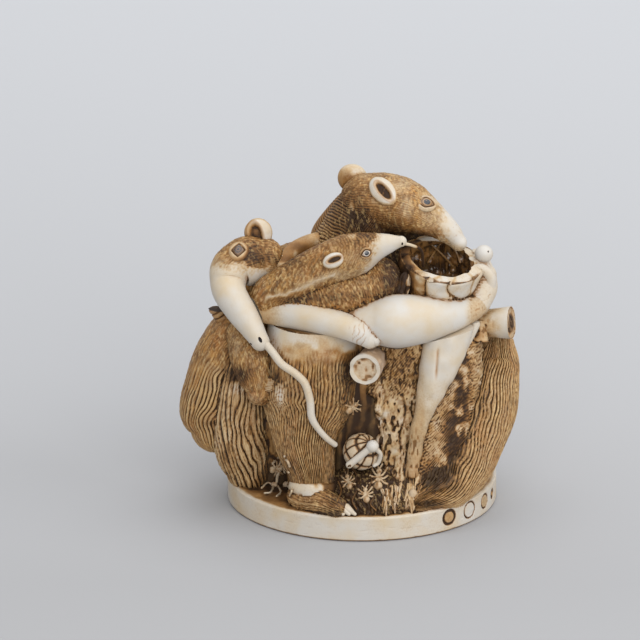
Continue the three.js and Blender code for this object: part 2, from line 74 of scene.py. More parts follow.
def placed(name, data):
    thing = bpy.data.objects.new(name, data)
    bpy.context.scene.collection.objects.link(thing)
    return thing


def held(value):
    return np.clip(value, 0, 1)


def smooth(low, high, value):
    share = held((value - low) / (high - low))
    return share * share * (3 - 2 * share)


def bump(value, middle, width):
    return np.exp(-((value - middle) / width) ** 2)


def bearings(count):
    return np.linspace(0, 2 * math.pi, count, endpoint=False)


def ridges(phase):
    return np.abs(np.sin(math.pi * phase))


def whole(values):
    return values.astype(np.int64).astype(np.uint32)


def scatter(ix, iy, iz, seed):
    mixed = ix * np.uint32(374761393) + iy * np.uint32(668265263) + iz * np.uint32(2246822519)
    mixed = mixed + np.uint32(seed * 97 + 13)
    mixed = (mixed ^ (mixed >> np.uint32(13))) * np.uint32(1274126177)
    mixed = mixed ^ (mixed >> np.uint32(16))
    return mixed.astype(np.float64) / 2147483647.5 - 1


def noise(points, seed=0):
    cell = np.floor(points)
    share = points - cell
    share = share * share * (3 - 2 * share)
    corner = whole(cell)
    total = 0
    for dx in (0, 1):
        wx = share[..., 0] if dx else 1 - share[..., 0]
        for dy in (0, 1):
            wy = share[..., 1] if dy else 1 - share[..., 1]
            for dz in (0, 1):
                wz = share[..., 2] if dz else 1 - share[..., 2]
                total = total + wx * wy * wz * scatter(corner[..., 0] + np.uint32(dx), corner[..., 1] + np.uint32(dy),
                                                       corner[..., 2] + np.uint32(dz), seed)
    return total


def placeAt(across, forward, up):
    return np.array([across * step, -forward * step, plinth["height"] + up * step])


def spline(values, share, mirrored):
    first = 2 * values[0] - values[1] if mirrored else values[0]
    last = 2 * values[-1] - values[-2] if mirrored else values[-1]
    padded = np.concatenate([[first], values, [last]])
    spot = share * (len(values) - 1)
    index = np.clip(np.floor(spot).astype(int), 0, len(values) - 2)
    w = spot - index
    if values.ndim > 1:
        w = w[:, None]
    p0, p1, p2, p3 = (padded[index + i] for i in range(4))
    v0, v1 = (p2 - p0) / 2, (p3 - p1) / 2
    return p1 + v0 * w + (3 * (p2 - p1) - 2 * v0 - v1) * w ** 2 + (2 * (p1 - p2) + v0 + v1) * w ** 3


def unit(vectors):
    return vectors / np.maximum(np.linalg.norm(vectors, axis=-1, keepdims=True), 1e-9)


def seen(points):
    # the picture column and row in which the camera sees a point
    across, forward = points[..., 0] / step, -points[..., 1] / step
    up = (points[..., 2] - plinth["height"]) / step
    column = picture["column"] + across / picture["across"]
    row = picture["row"] - (up + picture["lift"] - picture["lean"] * forward) / picture["up"]
    return column, row


# Closed forms: a grid of rings between two poles, with relief pushed along its normals

markNames = ("tone", "stain", "ink", "gloss", "crest", "fuzz")


def gridForm(points, poles, context, relief, group):
    rows, columns = points.shape[:2]
    middle = points.mean(axis=1, keepdims=True)
    along = np.gradient(points, axis=0)
    roundways = np.roll(points, -1, axis=1) - np.roll(points, 1, axis=1)
    normal = unit(np.cross(roundways, along))
    if np.mean(np.sum(normal * (points - middle), axis=-1)) < 0:
        normal = -normal
    context["points"] = points
    context.setdefault("skin", points)
    context["column"], context["row"] = seen(points)
    made = relief(SimpleNamespace(**context)) if relief else {}
    points = points + normal * np.broadcast_to(made.get("height", 0.0), (rows, columns))[..., None]
    vertices = np.concatenate([points.reshape(-1, 3), poles])
    marks = {}
    for name in markNames:
        grid = np.broadcast_to(made.get(name, 0.0), (rows, columns)).astype(np.float32)
        ends = [grid[0].mean(), grid[-1].mean()]
        marks[name] = np.concatenate([grid.reshape(-1), ends])
    index = np.arange(rows * columns).reshape(rows, columns)
    after = np.roll(index, -1, axis=1)
    quads = np.stack([index[:-1], after[:-1], after[1:], index[1:]], axis=-1).reshape(-1, 4)
    start, end = rows * columns, rows * columns + 1
    fanStart = np.stack([np.full(columns, start), after[0], index[0]], axis=-1)
    fanEnd = np.stack([np.full(columns, end), index[-1], after[-1]], axis=-1)
    return {"vertices": vertices, "quads": quads, "triangles": np.concatenate([fanStart, fanEnd]),
            "marks": marks, "group": group}


def sweep(stations, relief=None, gap=0.2, along=0.32, depth=1.0, turn=0.0, sway=0.0, flat=False, grow=0.0,
          reference=(0, 1, 0), facing=0.5, endRings=1, group=0):
    path = np.array([placeAt(*station[:3]) for station in stations])
    girth = np.array([station[3] * step for station in stations])
    probe = spline(path, np.linspace(0, 1, 60), True)
    length = np.sum(np.linalg.norm(np.diff(probe, axis=0), axis=1))
    steps = max(4, math.ceil(length / along))
    share = np.linspace(0, 1, steps + 1)
    centre = spline(path, share, True)
    radius = spline(girth, share, False) + grow
    tangent = unit(spline(path, share + 0.002, True) - spline(path, share - 0.002, True))
    travel = np.concatenate([[0], np.cumsum(np.linalg.norm(np.diff(centre, axis=0), axis=1))])
    rings = [centre, tangent, radius, share, travel]
    poles = [centre[0], centre[-1]]
    for end, sign in ((0, -1), (-1, 1)):
        if flat:
            shares = np.arange(1, endRings + 1) / (endRings + 1)
            extra = [np.repeat(centre[end][None], endRings, 0), np.repeat(tangent[end][None], endRings, 0),
                     radius[end] * (1 - shares), np.full(endRings, share[end]),
                     travel[end] + sign * radius[end] * shares]
        else:
            count = max(3, math.ceil(radius[end] * 1.5 / along))
            lean = np.linspace(0, math.pi / 2, count + 2)[1:-1]
            extra = [centre[end] + sign * tangent[end] * (radius[end] * np.sin(lean))[:, None],
                     np.repeat(tangent[end][None], count, 0), radius[end] * np.cos(lean),
                     np.full(count, share[end]), travel[end] + sign * radius[end] * lean]
            poles[end] = centre[end] + sign * tangent[end] * radius[end]
        joined = []
        for ring, more in zip(rings, extra):
            joined.append(np.concatenate([more[::-1], ring]) if sign < 0 else np.concatenate([ring, more]))
        rings = joined
    ringCentre, ringTangent, ringRadius, ringShare, ringTravel = rings
    columns = max(10, math.ceil(2 * math.pi * radius.max() / (gap / (1 - facing))))
    turned = bearings(columns)
    bearing = turned - facing * np.sin(turned + math.pi / 2)
    heading = bearing[None] + (turn * ringShare + sway * np.sin(2 * math.pi * ringShare))[:, None]
    side = unit(np.cross(np.array(reference, float), ringTangent))
    front = np.cross(ringTangent, side)
    reach = ringRadius[:, None, None]
    points = ringCentre[:, None] + side[:, None] * reach * np.cos(heading)[..., None] \
        + front[:, None] * reach * depth * np.sin(heading)[..., None]
    context = {key: np.broadcast_to(values, heading.shape) for key, values in (
        ("around", bearing[None]), ("share", ringShare[:, None]), ("travel", ringTravel[:, None]),
        ("radius", ringRadius[:, None]))}
    around, mean = context["around"], radius.mean()
    context["skin"] = np.stack([mean * np.cos(around), mean * np.sin(around), context["travel"]], axis=-1)
    return gridForm(points, np.array(poles), context, relief, group)


def lump(centre, radii, relief=None, facingWay=(0, -1, 0), roll=0.0, gap=0.25, group=0):
    # a rounded lump whose pole looks along facingWay; radii are across, upwards and along that way, in steps
    pole = unit(np.array(facingWay, float))
    across = unit(np.cross(np.array([0, 0, 1.0]), pole))
    if abs(pole[2]) > 0.95:
        across = np.array([1.0, 0, 0])
    upward = np.cross(pole, across)
    u = across * math.cos(roll) + upward * math.sin(roll)
    v = -across * math.sin(roll) + upward * math.cos(roll)
    wide, tall, deep = (r * step for r in radii)
    rows = max(6, math.ceil(math.pi * max(wide, tall, deep) / gap))
    columns = max(10, math.ceil(2 * math.pi * max(wide, tall) / gap))
    lean = np.linspace(0, math.pi, rows + 2)[1:-1]
    turn = bearings(columns)
    lean, turn = np.meshgrid(lean, turn, indexing="ij")
    origin = placeAt(*centre)
    points = origin + u * (wide * np.sin(lean) * np.cos(turn))[..., None] \
        + v * (tall * np.sin(lean) * np.sin(turn))[..., None] + pole * (deep * np.cos(lean))[..., None]
    poles = np.array([origin + pole * deep, origin - pole * deep])
    context = {"lean": lean, "turn": turn, "out": np.sin(lean), "front": np.cos(lean) > 0,
               "acrossShare": np.sin(lean) * np.cos(turn), "upShare": np.sin(lean) * np.sin(turn)}
    return outward(gridForm(points, poles, context, relief, group))


def outward(form):
    # turns every face the other way if the form has come out inside out
    corner = form["vertices"]
    quads, triangles = form["quads"], form["triangles"]
    volume = 0
    for a, b, c in ((quads[:, 0], quads[:, 1], quads[:, 2]), (quads[:, 0], quads[:, 2], quads[:, 3]), triangles.T):
        volume += np.sum(corner[a] * np.cross(corner[b], corner[c]))
    if volume < 0:
        form["quads"], form["triangles"] = quads[:, ::-1], triangles[:, ::-1]
    return form


def uprightOval(width, depth, bottom, top, forward, group=0, tone=0.0, stain=0.0):
    # an upright oval column in millimetres, such as the cavity or the plug
    sides, rows = 96, 2
    turn = bearings(sides)
    levels = np.linspace(bottom, top, rows)
    points = np.stack([np.broadcast_to(width / 2 * np.cos(turn), (rows, sides)),
                       np.broadcast_to(depth / 2 * np.sin(turn) - forward * step, (rows, sides)),
                       np.broadcast_to(levels[:, None], (rows, sides))], axis=-1)
    poles = np.array([[0, -forward * step, bottom], [0, -forward * step, top]])
    return outward(gridForm(points, poles, {}, lambda c: {"tone": tone, "stain": stain}, group))


def readEach(items, key, width=1, kind=np.float32):
    values = np.zeros(len(items) * width, kind)
    items.foreach_get(key, values)
    return values.reshape(-1, width) if width > 1 else values


def writeMark(mesh, name, values):
    layer = mesh.attributes.get(name) or mesh.attributes.new(name, "FLOAT", "POINT")
    layer.data.foreach_set("value", values.astype(np.float32))


def meshWith(name, points, corners, starts, marks):
    mesh = bpy.data.meshes.new(name)
    mesh.vertices.add(len(points))
    mesh.vertices.foreach_set("co", points.astype(np.float32).ravel())
    mesh.loops.add(len(corners))
    mesh.loops.foreach_set("vertex_index", corners.astype(np.int32))
    mesh.polygons.add(len(starts))
    mesh.polygons.foreach_set("loop_start", starts.astype(np.int32))
    mesh.update(calc_edges=True)
    for key, values in marks.items():
        writeMark(mesh, key, values)
    return mesh


def meshOf(form, name):
    quads, triangles = form["quads"], form["triangles"]
    corners = np.concatenate([quads.ravel(), triangles.ravel()])
    starts = np.concatenate([np.arange(len(quads)) * 4, len(quads) * 4 + np.arange(len(triangles)) * 3])
    mesh = meshWith(name, form["vertices"], corners, starts,
                    {**form["marks"], "real": np.ones(len(form["vertices"]))})
    mesh.attributes.new("group", "INT", "FACE").data.foreach_set("value",
                                                                 np.full(len(starts), form["group"], np.int32))
    return mesh


def solidFrom(form):
    return placed("form", meshOf(form, "form"))


def combine(solid, forms, operation):
    # joins forms to a solid, or cuts them from it, and drops what was used
    used = bpy.data.collections.new("used")
    for form in forms:
        other = form if isinstance(form, bpy.types.Object) else solidFrom(form)
        for holder in list(other.users_collection):
            holder.objects.unlink(other)
        used.objects.link(other)
    bpy.context.scene.collection.children.link(used)
    modifier = solid.modifiers.new("joining", "BOOLEAN")
    modifier.solver = "MANIFOLD"
    modifier.operation = operation
    modifier.operand_type = "COLLECTION"
    modifier.collection = used
    bpy.context.view_layer.update()
    result = bpy.data.meshes.new_from_object(solid.evaluated_get(bpy.context.evaluated_depsgraph_get()))
    solid.modifiers.clear()
    old = solid.data
    solid.data = result
    bpy.data.meshes.remove(old)
    for other in list(used.objects):
        data = other.data
        bpy.data.objects.remove(other)
        bpy.data.meshes.remove(data)
    bpy.data.collections.remove(used)
    return solid


def grouped(number, forms):
    # says into which of the pieces in groupNames the forms go
    for form in forms:
        if isinstance(form, dict):
            form["group"] = number
    return forms


def join(forms):
    return combine(solidFrom(forms[0]), forms[1:], "UNION")


# Carving: how far each kind of relief pushes the surface, and how much stain lies in it

def strandsOn(c, count, depth, wander=1.0, seed=0, bend=0.0, fine=1.0):
    around, travel = c.around, c.travel
    ring = np.stack([1.7 * np.cos(around), 1.7 * np.sin(around), travel / 6.5], axis=-1)
    drift = wander * noise(ring, seed) + 0.5 * wander * noise(ring * 2.3, seed + 1)
    phase = count * around / (2 * math.pi) + drift + bend * np.sin(around)
    ridge = ridges(phase)
    strand = np.floor(phase)
    alive = noise(np.stack([strand * 0.77 + 0.5, np.full_like(strand, seed + 0.5), travel / 5.0], axis=-1), seed + 2)
    strength = 0.72 + 0.45 * alive
    groove = bump(ridge, 0, 0.42) * np.clip(strength, 0.15, 1)
    finer = ridges(phase * 2.6 + 0.8 * drift)
    fineGroove = fine * bump(finer, 0, 0.4) * (1 - groove)
    height = depth * (0.3 * ridge - groove - 0.26 * fineGroove + 0.25 * alive)
    crest = smooth(0.5, 0.95, ridge) * held(0.5 + 0.9 * alive)
    return height, held(groove + 0.38 * fineGroove), crest


def fuzzOn(c, depth, across, length, seed, slant):
    if hasattr(c, "around"):
        spread = c.around * c.radius.max()
    else:
        spread = c.points[..., 0] + 0.7 * c.points[..., 1]
    return tufts(c, depth, spread + slant * c.skin[..., 2], c.skin[..., 2], across, length, seed)


def tufts(c, depth, spread, travel, across, length, seed):
    # short overlapping strokes, each one a little ridge that fades out at both ends
    wander = waver(c, 0.8, 2.2, seed) + waver(c, 0.25, 0.7, seed + 1)
    phase = spread / across + wander
    stroke = np.floor(phase)
    start = scatter(whole(stroke), np.uint32(seed), np.uint32(7), seed)
    run = travel / length + start + waver(c, 0.5, 1.1, seed + 2)
    cell = np.floor(run)
    lift = scatter(whole(stroke), whole(cell), np.uint32(3), seed + 4)
    ridge = ridges(phase) ** 0.8 * held(ridges(run)) ** 0.35
    groove = 1 - smooth(0.1, 0.75, ridge)
    crest = smooth(0.75, 1.0, ridge) * held(0.45 + 0.6 * lift)
    return depth * (ridge - 0.75 + 0.25 * lift), held(groove * (0.85 + 0.3 * lift)), crest


def fuzzDown(c, depth, across, length, seed, slant):
    # short strokes that hang straight down whatever way the form runs
    points = c.points
    spread = points[..., 0] + 0.55 * points[..., 1] + slant * points[..., 2]
    return tufts(c, depth, spread, points[..., 2] - 0.3 * points[..., 1], across, length, seed)


def specks(c, size, seed):
    return noise(c.points / np.array(size), seed)


def waver(c, amount, size, seed):
    return amount * specks(c, size, seed)


def valueOf(setting, c):
    return setting(c) if callable(setting) else setting


# what a coat of fur has unless its look says otherwise
furPlain = {"strands": 0, "depth": 0.4, "wander": 1.0, "bend": 0, "fine": 1.0, "fade": 1.0, "fuzz": 0, "down": False,
            "across": 0.52, "length": 1.4, "slant": 0, "fuzzShare": 1.0, "swell": 0, "tone": 1.0, "extra": 0.0,
            "seed": 0}


def fur(look):
    look = SimpleNamespace(**{**furPlain, **look})

    def relief(c):
        height, stain, crest, fuzz = 0.0, 0.0, 0.0, 0.0
        fade, seed = valueOf(look.fade, c), look.seed
        if look.strands:
            made = strandsOn(c, look.strands, look.depth, look.wander, seed, look.bend, look.fine)
            height, stain, crest = (part * fade for part in made)
        if look.fuzz:
            maker = fuzzDown if look.down else fuzzOn
            more, moreStain, moreCrest = maker(c, look.fuzz, look.across, look.length, seed + 11, look.slant)
            share = valueOf(look.fuzzShare, c)
            height = height + more * share
            crest = np.maximum(crest, moreCrest * share * 0.25)
            fuzz = min(1.0, look.fuzz / 0.16) * share
            stain = held(stain + 0.4 * moreStain * share)
        if look.swell:
            height = height + waver(c, look.swell, 3.5, seed + 21)
        tone = held(valueOf(look.tone, c))
        return {"height": height, "stain": held(stain + valueOf(look.extra, c)), "tone": tone, "crest": crest,
                "fuzz": fuzz * tone}
    return relief


def ivory(tone=0.0, stain=0.0, swellBy=0.08, seed=0, wrinkles=0.0):
    def relief(c):
        height = waver(c, swellBy, 4.0, seed)
        mark = valueOf(stain, c)
        if wrinkles:
            lines = np.abs(specks(c, (1.8, 1.8, 0.9), seed + 3))
            groove = smooth(0.07, 0.0, lines) * smooth(-0.1, 0.4, specks(c, 1.6, seed + 4))
            height = height - wrinkles * groove
            mark = mark + 0.5 * groove
        return {"height": height, "tone": held(valueOf(tone, c)), "stain": held(mark)}
    return relief


# The castings are cut apart along their creases into these pieces at the end, by group
groupNames = {1: "base_flank", 2: "base_trunk", 3: "base_right_tail", 4: "base_left_animal", 5: "base_back",
              6: "lid_front", 7: "lid_head", 8: "lid_back", 9: "base_plinth", 10: "base_small_forms"}

flankLook = {"strands": 84, "depth": 0.36, "wander": 1.5, "fuzz": 0.1, "legCuffTone": 0.12, "seed": 3}


def flankForms():
    def strandShare(c):
        return smooth(348, 374, c.row + waver(c, 9, 1.2, 4))

    def toneAt(c):
        top = smooth(338, 366, c.row + waver(c, 10, 1.2, 4))
        patch = bump(c.column, 281, 8) * bump(c.row, 395, 15)
        return 0.1 + 0.75 * top + waver(c, 0.22, 3.0, 8) - 0.75 * patch

    coat = {**flankLook, "fade": strandShare, "fuzzShare": lambda c: strandShare(c) * smooth(0.1, 0.5, toneAt(c)),
            "tone": toneAt, "length": 2.2}
    leg = {"strands": 22, "depth": 0.16, "wander": 1.4, "fuzz": 0.16, "tone": 0.66, "across": 0.51, "length": 1.17,
           "seed": 31, "swell": 0.15}

    def cuffRelief(c):
        low = smooth(0.6, 0.95, c.share)
        rounding = smooth(0.25, 0.0, c.share) + smooth(0.8, 1.0, c.share)
        dots = smooth(0.2, 0.5, specks(c, (0.5, 0.5, 0.8), 6)) * low
        shade = smooth(316, 326, c.column + waver(c, 6, 1.2, 3))
        return {"height": -0.25 * dots - 0.7 * rounding + waver(c, 0.2, 2.0, 5),
                "tone": flankLook["legCuffTone"] + 0.7 * shade, "stain": held(0.8 * dots + 0.35 * shade)}

    claws = [sweep([[-8.2 + 1.7 * i, 35.4, 2.6 - 0.3 * i, 1.3], [-5.6 + 1.7 * i, 37, 0.6, 0.5]], ivory(0.12),
                   gap=0.14, along=0.2) for i in range(3)]
    return [
        sweep([[-13.5, 12, 60, 13], [-13, 13, 50, 14.5], [-14, 15, 40, 14.6], [-15.6, 17, 28, 13.8],
               [-16.5, 21, 18, 9.5], [-14.8, 25, 9, 6.8], [-14.5, 27, 2, 6]], fur(coat), gap=0.13, along=0.3,
              sway=0.08, facing=0.6),
        sweep([[-14.4, 26.2, 7.4, 6.4], [-14.4, 26.6, 5.4, 6.9], [-14.3, 27, 3, 6.6]], cuffRelief, gap=0.18,
              along=0.15, flat=True),
        sweep([[-17, 27, 2.6, 4.8], [-12, 31.5, 2.4, 4.4], [-7.5, 34.6, 1.6, 3.4]], fur(leg), gap=0.16, along=0.2),
        *claws,
    ]


leftLook = {"tailStrands": 50, "tailDepth": 0.36, "legStrands": 30, "legDepth": 0.6, "armFuzz": 0.2, "seed": 17}


def leftBodyForms():
    seed = leftLook["seed"]

    def tailFade(c):
        return smooth(345, 385, c.row + waver(c, 10, 1.5, seed))

    plainCoat = {"strands": 24, "depth": 0.3, "tone": 0.9, "seed": seed}
    armCoat = {"fuzz": leftLook["armFuzz"], "tone": lambda c: 0.78 + waver(c, 0.3, 1.5, 2), "across": 0.54,
               "length": 1.17, "seed": seed + 1, "swell": 0.15}
    tailCoat = {"strands": leftLook["tailStrands"], "depth": leftLook["tailDepth"], "wander": 1.3, "fade": tailFade,
                "fuzz": 0.14, "fuzzShare": lambda c: 1 - 0.75 * tailFade(c), "across": 0.64, "length": 1.3,
                "tone": lambda c: 0.95 - 0.35 * tailFade(c) * smooth(200, 222, c.column) + waver(c, 0.15, 3, 5),
                "seed": seed + 2}
    legCoat = {"strands": leftLook["legStrands"], "depth": leftLook["legDepth"], "wander": 0.9, "fuzz": 0.06,
               "tone": lambda c: 0.42 + waver(c, 0.3, 2.5, 9) + 0.2 * smooth(455, 480, c.row), "seed": seed + 3}

    def humpRelief(c):
        ridge = ridges(c.travel / 1.1)
        groove = bump(ridge, 0, 0.45)
        return {"height": -0.25 * groove, "stain": groove, "tone": 0.8}

    return [
        sweep([[-26, -2, 3, 13], [-28, -2, 22, 16], [-27, -2, 40, 14], [-28, -1, 49, 10]], fur(plainCoat), gap=0.4,
              along=0.5, depth=1.05, facing=0),
        sweep([[-33, 10, 46, 6.5], [-31.5, 16, 41, 6.8], [-30.2, 19, 35.5, 5.8], [-29.6, 20, 32.5, 4.4]],
              fur(armCoat), gap=0.15, along=0.22),
        sweep([[-29.5, 19, 34, 3.8], [-25, 21.6, 35.5, 3.4], [-21, 22.6, 38, 2.8]], fur({**armCoat, "tone": 0.35}),
              gap=0.18, along=0.25),
        sweep([[-31, 3, 50, 6], [-36.5, 4, 45, 7.5], [-40.5, 4, 37, 8.5], [-42.5, 4, 29, 9], [-43.7, 4, 20.5, 9.5],
               [-42.6, 5, 15.6, 7.4]], fur(tailCoat), gap=0.14, along=0.28, turn=0.5, facing=0.55),
        sweep([[-33.5, 8, 39, 5.6], [-34.6, 10.5, 29, 7.2], [-35.2, 10, 18, 8.2], [-34.6, 9, 9.5, 8],
               [-33, 8.5, 4, 6.6]], fur(legCoat),
              gap=0.13, along=0.25, sway=0.14, facing=0.55),
        sweep([[-45, 4, 57.5, 2.4], [-43, 5, 54, 2.6], [-40, 5, 50, 3]], humpRelief, gap=0.2, along=0.16),
    ]


headLook = {"furRow": 264, "furBlur": 16, "fuzz": 0.16, "seed": 41}


def leftHeadForms(grow=0.0, plain=False):
    def toneAt(c):
        below = smooth(-headLook["furBlur"], headLook["furBlur"], c.row + waver(c, 5, 0.4, 3) - headLook["furRow"]
                       - 0.1 * (c.column - 240))
        return (1 - below) * (0.82 + waver(c, 0.25, 1.6, 2)) + 0.05

    def furShare(c):
        return smooth(0.1, 0.45, toneAt(c))

    coat = {"fuzz": headLook["fuzz"], "tone": toneAt, "fuzzShare": furShare, "across": 0.51, "length": 1.04,
            "seed": headLook["seed"], "swell": 0.1}
    neckCoat = {"fuzz": 0.18, "tone": 0.85, "length": 1.56, "seed": headLook["seed"] + 1}
    forms = [
        sweep([[-29, -2, 44, 9], [-34, 0, 54, 7.4], [-35.5, 3, 62, 7.2]], None if plain else fur(neckCoat),
              gap=0.8 if plain else 0.25, along=0.8 if plain else 0.35, grow=grow),
        sweep([[-29, 4, 67, 6.6], [-33.8, 6, 67.2, 7.3], [-38, 9, 65.8, 6.2], [-39, 12, 62.5, 5.2],
               [-38, 15.5, 60, 4.7], [-34.5, 18.5, 55.4, 4.2], [-31.6, 21.5, 51.6, 3.3], [-29.6, 23.2, 48.8, 2.7]],
              None if plain else fur(coat), gap=0.8 if plain else 0.15, along=0.8 if plain else 0.2, grow=grow,
              reference=(0, 0.6, 0.8), facing=0.4),
    ]
    if plain:
        return [*forms, lump([-30.2, 2, 74.6], [4.3 + grow / step, 4 + grow / step, 2.4 + grow / step], gap=0.8)]
    return [*forms, earLens([-30.2, 2, 74.6], [4.3, 4.1, 2.5], -1.35, (0.08, -0.96, 0.26), 0.8, shift=0.0,
                            browned=1.0)]


def earLens(centre, radii, roll, facingWay, hollow, shift=0.12, browned=0.0):
    # an ear that lies against the head: a raised cream rim round a dark hollow
    def relief(c):
        across, upward = c.acrossShare - shift, c.upShare + 0.25 * browned
        inner = np.sqrt((across / hollow) ** 2 + (upward / (hollow * 0.62)) ** 2)
        pit = smooth(1.15, 0.7, inner) * c.front
        mottle = specks(c, 0.8, 4)
        brown = 0.4 * browned * smooth(-0.3, -0.9, c.upShare)
        return {"height": -0.55 * radii[2] * step * pit + 0.05 * mottle,
                "tone": 0.05 + 0.85 * pit + brown + 0.4 * smooth(0.86, 1.0, c.out),
                "stain": held(pit * (0.75 + 0.4 * mottle) + 0.35 * bump(inner, 1.15, 0.12) * c.front)}

    return lump(centre, radii, relief, facingWay=facingWay, roll=roll, gap=0.12)


def tongueForms():
    return [sweep([[-28.4, 24, 48.9, 1.15], [-26, 25.8, 46.4, 1.15], [-23.3, 27.6, 43.4, 1.15],
                   [-19.3, 29.2, 41, 1.15], [-16.6, 30, 38.2, 1.15], [-15.2, 30.6, 33.4, 1.15],
                   [-14.7, 31, 28.4, 1.1], [-12.9, 30.8, 24.8, 0.95], [-10.3, 30, 21.4, 0.9], [-8, 28.6, 19, 0.85]],
                  ivory(0.1, swellBy=0.04), gap=0.18, along=0.25, facing=0.2)]


trunkLook = {"barkPits": 0.42, "woodPits": 0.5, "seed": 53}


def trunkForms():
    seed = trunkLook["seed"]

    def barkRelief(c):
        points, row, column = c.points, c.row, c.column
        upper = smooth(402, 380, row + waver(c, 12, 2, seed))
        hollow = smooth(384, 366, column + waver(c, 8, 1.5, seed + 1)) * smooth(392, 402, row)
        slanted = points + waver(c, 0.5, 1.2, seed + 8)[..., None]
        strokeHeight, strokeGroove, strokeCrest = tufts(c, 0.3, points[..., 0] - 0.9 * points[..., 2],
                                                        points[..., 2] + 0.7 * points[..., 0], 0.55, 1.4, seed + 12)
        flecks = noise(slanted / np.array([0.36, 0.36, 0.7]), seed + 2) + 0.5 * noise(slanted / 0.3, seed + 3)
        pits = noise(slanted / np.array([0.5, 0.5, 1.3]), seed + 4) + waver(c, 0.3, 2.5, seed + 9)
        pitMark = smooth(0.3, 0.6, pits) * (1 - upper)
        fleckMark = smooth(0.0, 0.5, flecks) * (0.35 + 0.1 * upper)
        ridge = bump(column - 0.55 * (row - 424), 388, 2.5) * bump(row, 424, 9)
        groove = bump(column, 402 + 3 * np.sin(row / 9), 1.3) * smooth(380, 400, row) * smooth(505, 480, row)
        height = -trunkLook["woodPits"] * pitMark - trunkLook["barkPits"] * fleckMark
        height = height - 1.6 * hollow + 0.6 * ridge - 0.3 * groove
        height = height + waver(c, 0.45, 1.6, seed + 5) + strokeHeight * upper
        tone = 0.3 + 0.4 * upper + 0.3 * hollow + waver(c, 0.3, 1.6, seed + 6)
        return {"height": height, "tone": held(tone),
                "crest": np.maximum(0.6 * smooth(0.05, -0.5, flecks), strokeCrest * upper) * (1 - hollow),
                "stain": held(0.9 * pitMark + 0.85 * fleckMark + 0.9 * hollow + 0.6 * groove
                              + 0.8 * strokeGroove * upper)}

    def knotSide(c):
        flat = smooth(0.9, 1.0, c.share)
        return {"height": waver(c, 0.22, 1.2, seed + 7), "tone": 0.06, "stain": 0.35 * (1 - flat)}

    def knotPit(c):
        mottle = specks(c, 0.7, seed + 8)
        return {"height": 0.12 * mottle, "tone": 0.25, "stain": held(0.08 + 0.42 * smooth(0, 0.6, mottle))}

    knot = solidFrom(sweep([[4, 18, 42.8, 3.7], [0.6, 33, 43.8, 4.5]], knotSide, gap=0.2, along=0.3, flat=True,
                           endRings=8, reference=(0, 0, 1), facing=0, group=2))
    combine(knot, [sweep([[0.75, 32.5, 43.75, 3.4], [0.5, 34, 43.9, 3.5]], knotPit, gap=0.16, along=0.2, flat=True,
                         endRings=12, reference=(0, 0, 1), facing=0, group=2)], "DIFFERENCE")
    root = {"strands": 9, "depth": 0.35, "tone": 0.25, "fuzz": 0.1, "seed": seed + 9}
    mound = {"fuzz": 0.5, "across": 0.8, "length": 1.3, "tone": 0.85, "seed": seed + 11, "extra": 0.45, "swell": 0.6}
    return [
        sweep([[9, 9, -3, 18], [9, 10, 10, 15], [10, 10.5, 30, 13.5], [12, 10.5, 60, 13.5]], barkRelief, gap=0.16,
              along=0.22, flat=True, facing=0.6),
        lump([3, 20, -2], [17, 13, 16], fur(mound), gap=0.3),
        knot,
        sweep([[3.6, 18, 36, 3.4], [4, 22.5, 31.5, 2.8], [4.1, 24.6, 27, 1.7]], barkRelief, gap=0.16, along=0.2),
        sweep([[12, 21.5, 14, 3], [11, 25, 6, 3.2], [10.5, 29, 0, 3.4]], fur(root), gap=0.2, along=0.25),
        sweep([[16.5, 21, 14, 2.4], [15.5, 26, 5, 3], [14, 30, 0, 3.2]], fur(root), gap=0.2, along=0.25),
    ]


wedgeLook = {"edgeTone": 0.1, "grooveDepth": 0.18, "seed": 67}


def wedgeForms():
    seed = wedgeLook["seed"]

    def fillerRelief(c):
        points = c.points
        height, groove, crest = tufts(c, 0.3, points[..., 0] - 0.5 * points[..., 1] + 0.5 * points[..., 2],
                                      points[..., 2], 0.36, 0.9, seed)
        return {"height": height + waver(c, 0.25, 1.5, seed + 2), "tone": 0.5 + waver(c, 0.35, 1.5, seed + 3),
                "stain": 0.8 * groove, "crest": 0.9 * crest}

    def wedgeRelief(c):
        groove = bump(c.column, 436 - 0.05 * (c.row - 350), 1.5) * smooth(345, 352, c.row) * smooth(384, 372, c.row)
        warm = smooth(375, 440, c.row + 0.6 * (c.column - 420)) + 0.5 * smooth(426, 420, c.column)
        warm = warm + waver(c, 0.2, 1.5, seed)
        fleck = smooth(0.1, 0.5, specks(c, (0.4, 0.4, 0.9), seed + 5)) * smooth(410, 450, c.row)
        return {"height": -wedgeLook["grooveDepth"] * groove - 0.15 * fleck + waver(c, 0.2, 2, seed + 4),
                "tone": 0.04 + 0.3 * warm, "stain": held(0.35 * groove + 0.6 * fleck)}

    return [
        sweep([[23, 9, 56, 10.5], [24, 11.5, 40, 11], [22, 14.6, 22, 11], [20, 17, 2, 11]], fillerRelief, gap=0.22,
              along=0.3, facing=0.5),
        sweep([[25.5, 19.5, 56, 7], [25, 20.5, 52, 7], [23, 23, 44, 6.1], [20, 25, 35, 4.3], [17.8, 25.6, 28, 2.8],
               [15.8, 25.8, 20, 2.2], [14.5, 26.4, 9, 2.0]], wedgeRelief, gap=0.18, along=0.25, depth=0.72),
        sweep([[32.8, 16, 51.5, 1.3], [29, 19, 44, 1.1], [26.4, 20.6, 37.4, 0.9]], ivory(wedgeLook["edgeTone"]),
              gap=0.2, along=0.3),
    ]


logLook = {"grainDepth": 0.25, "seed": 71}


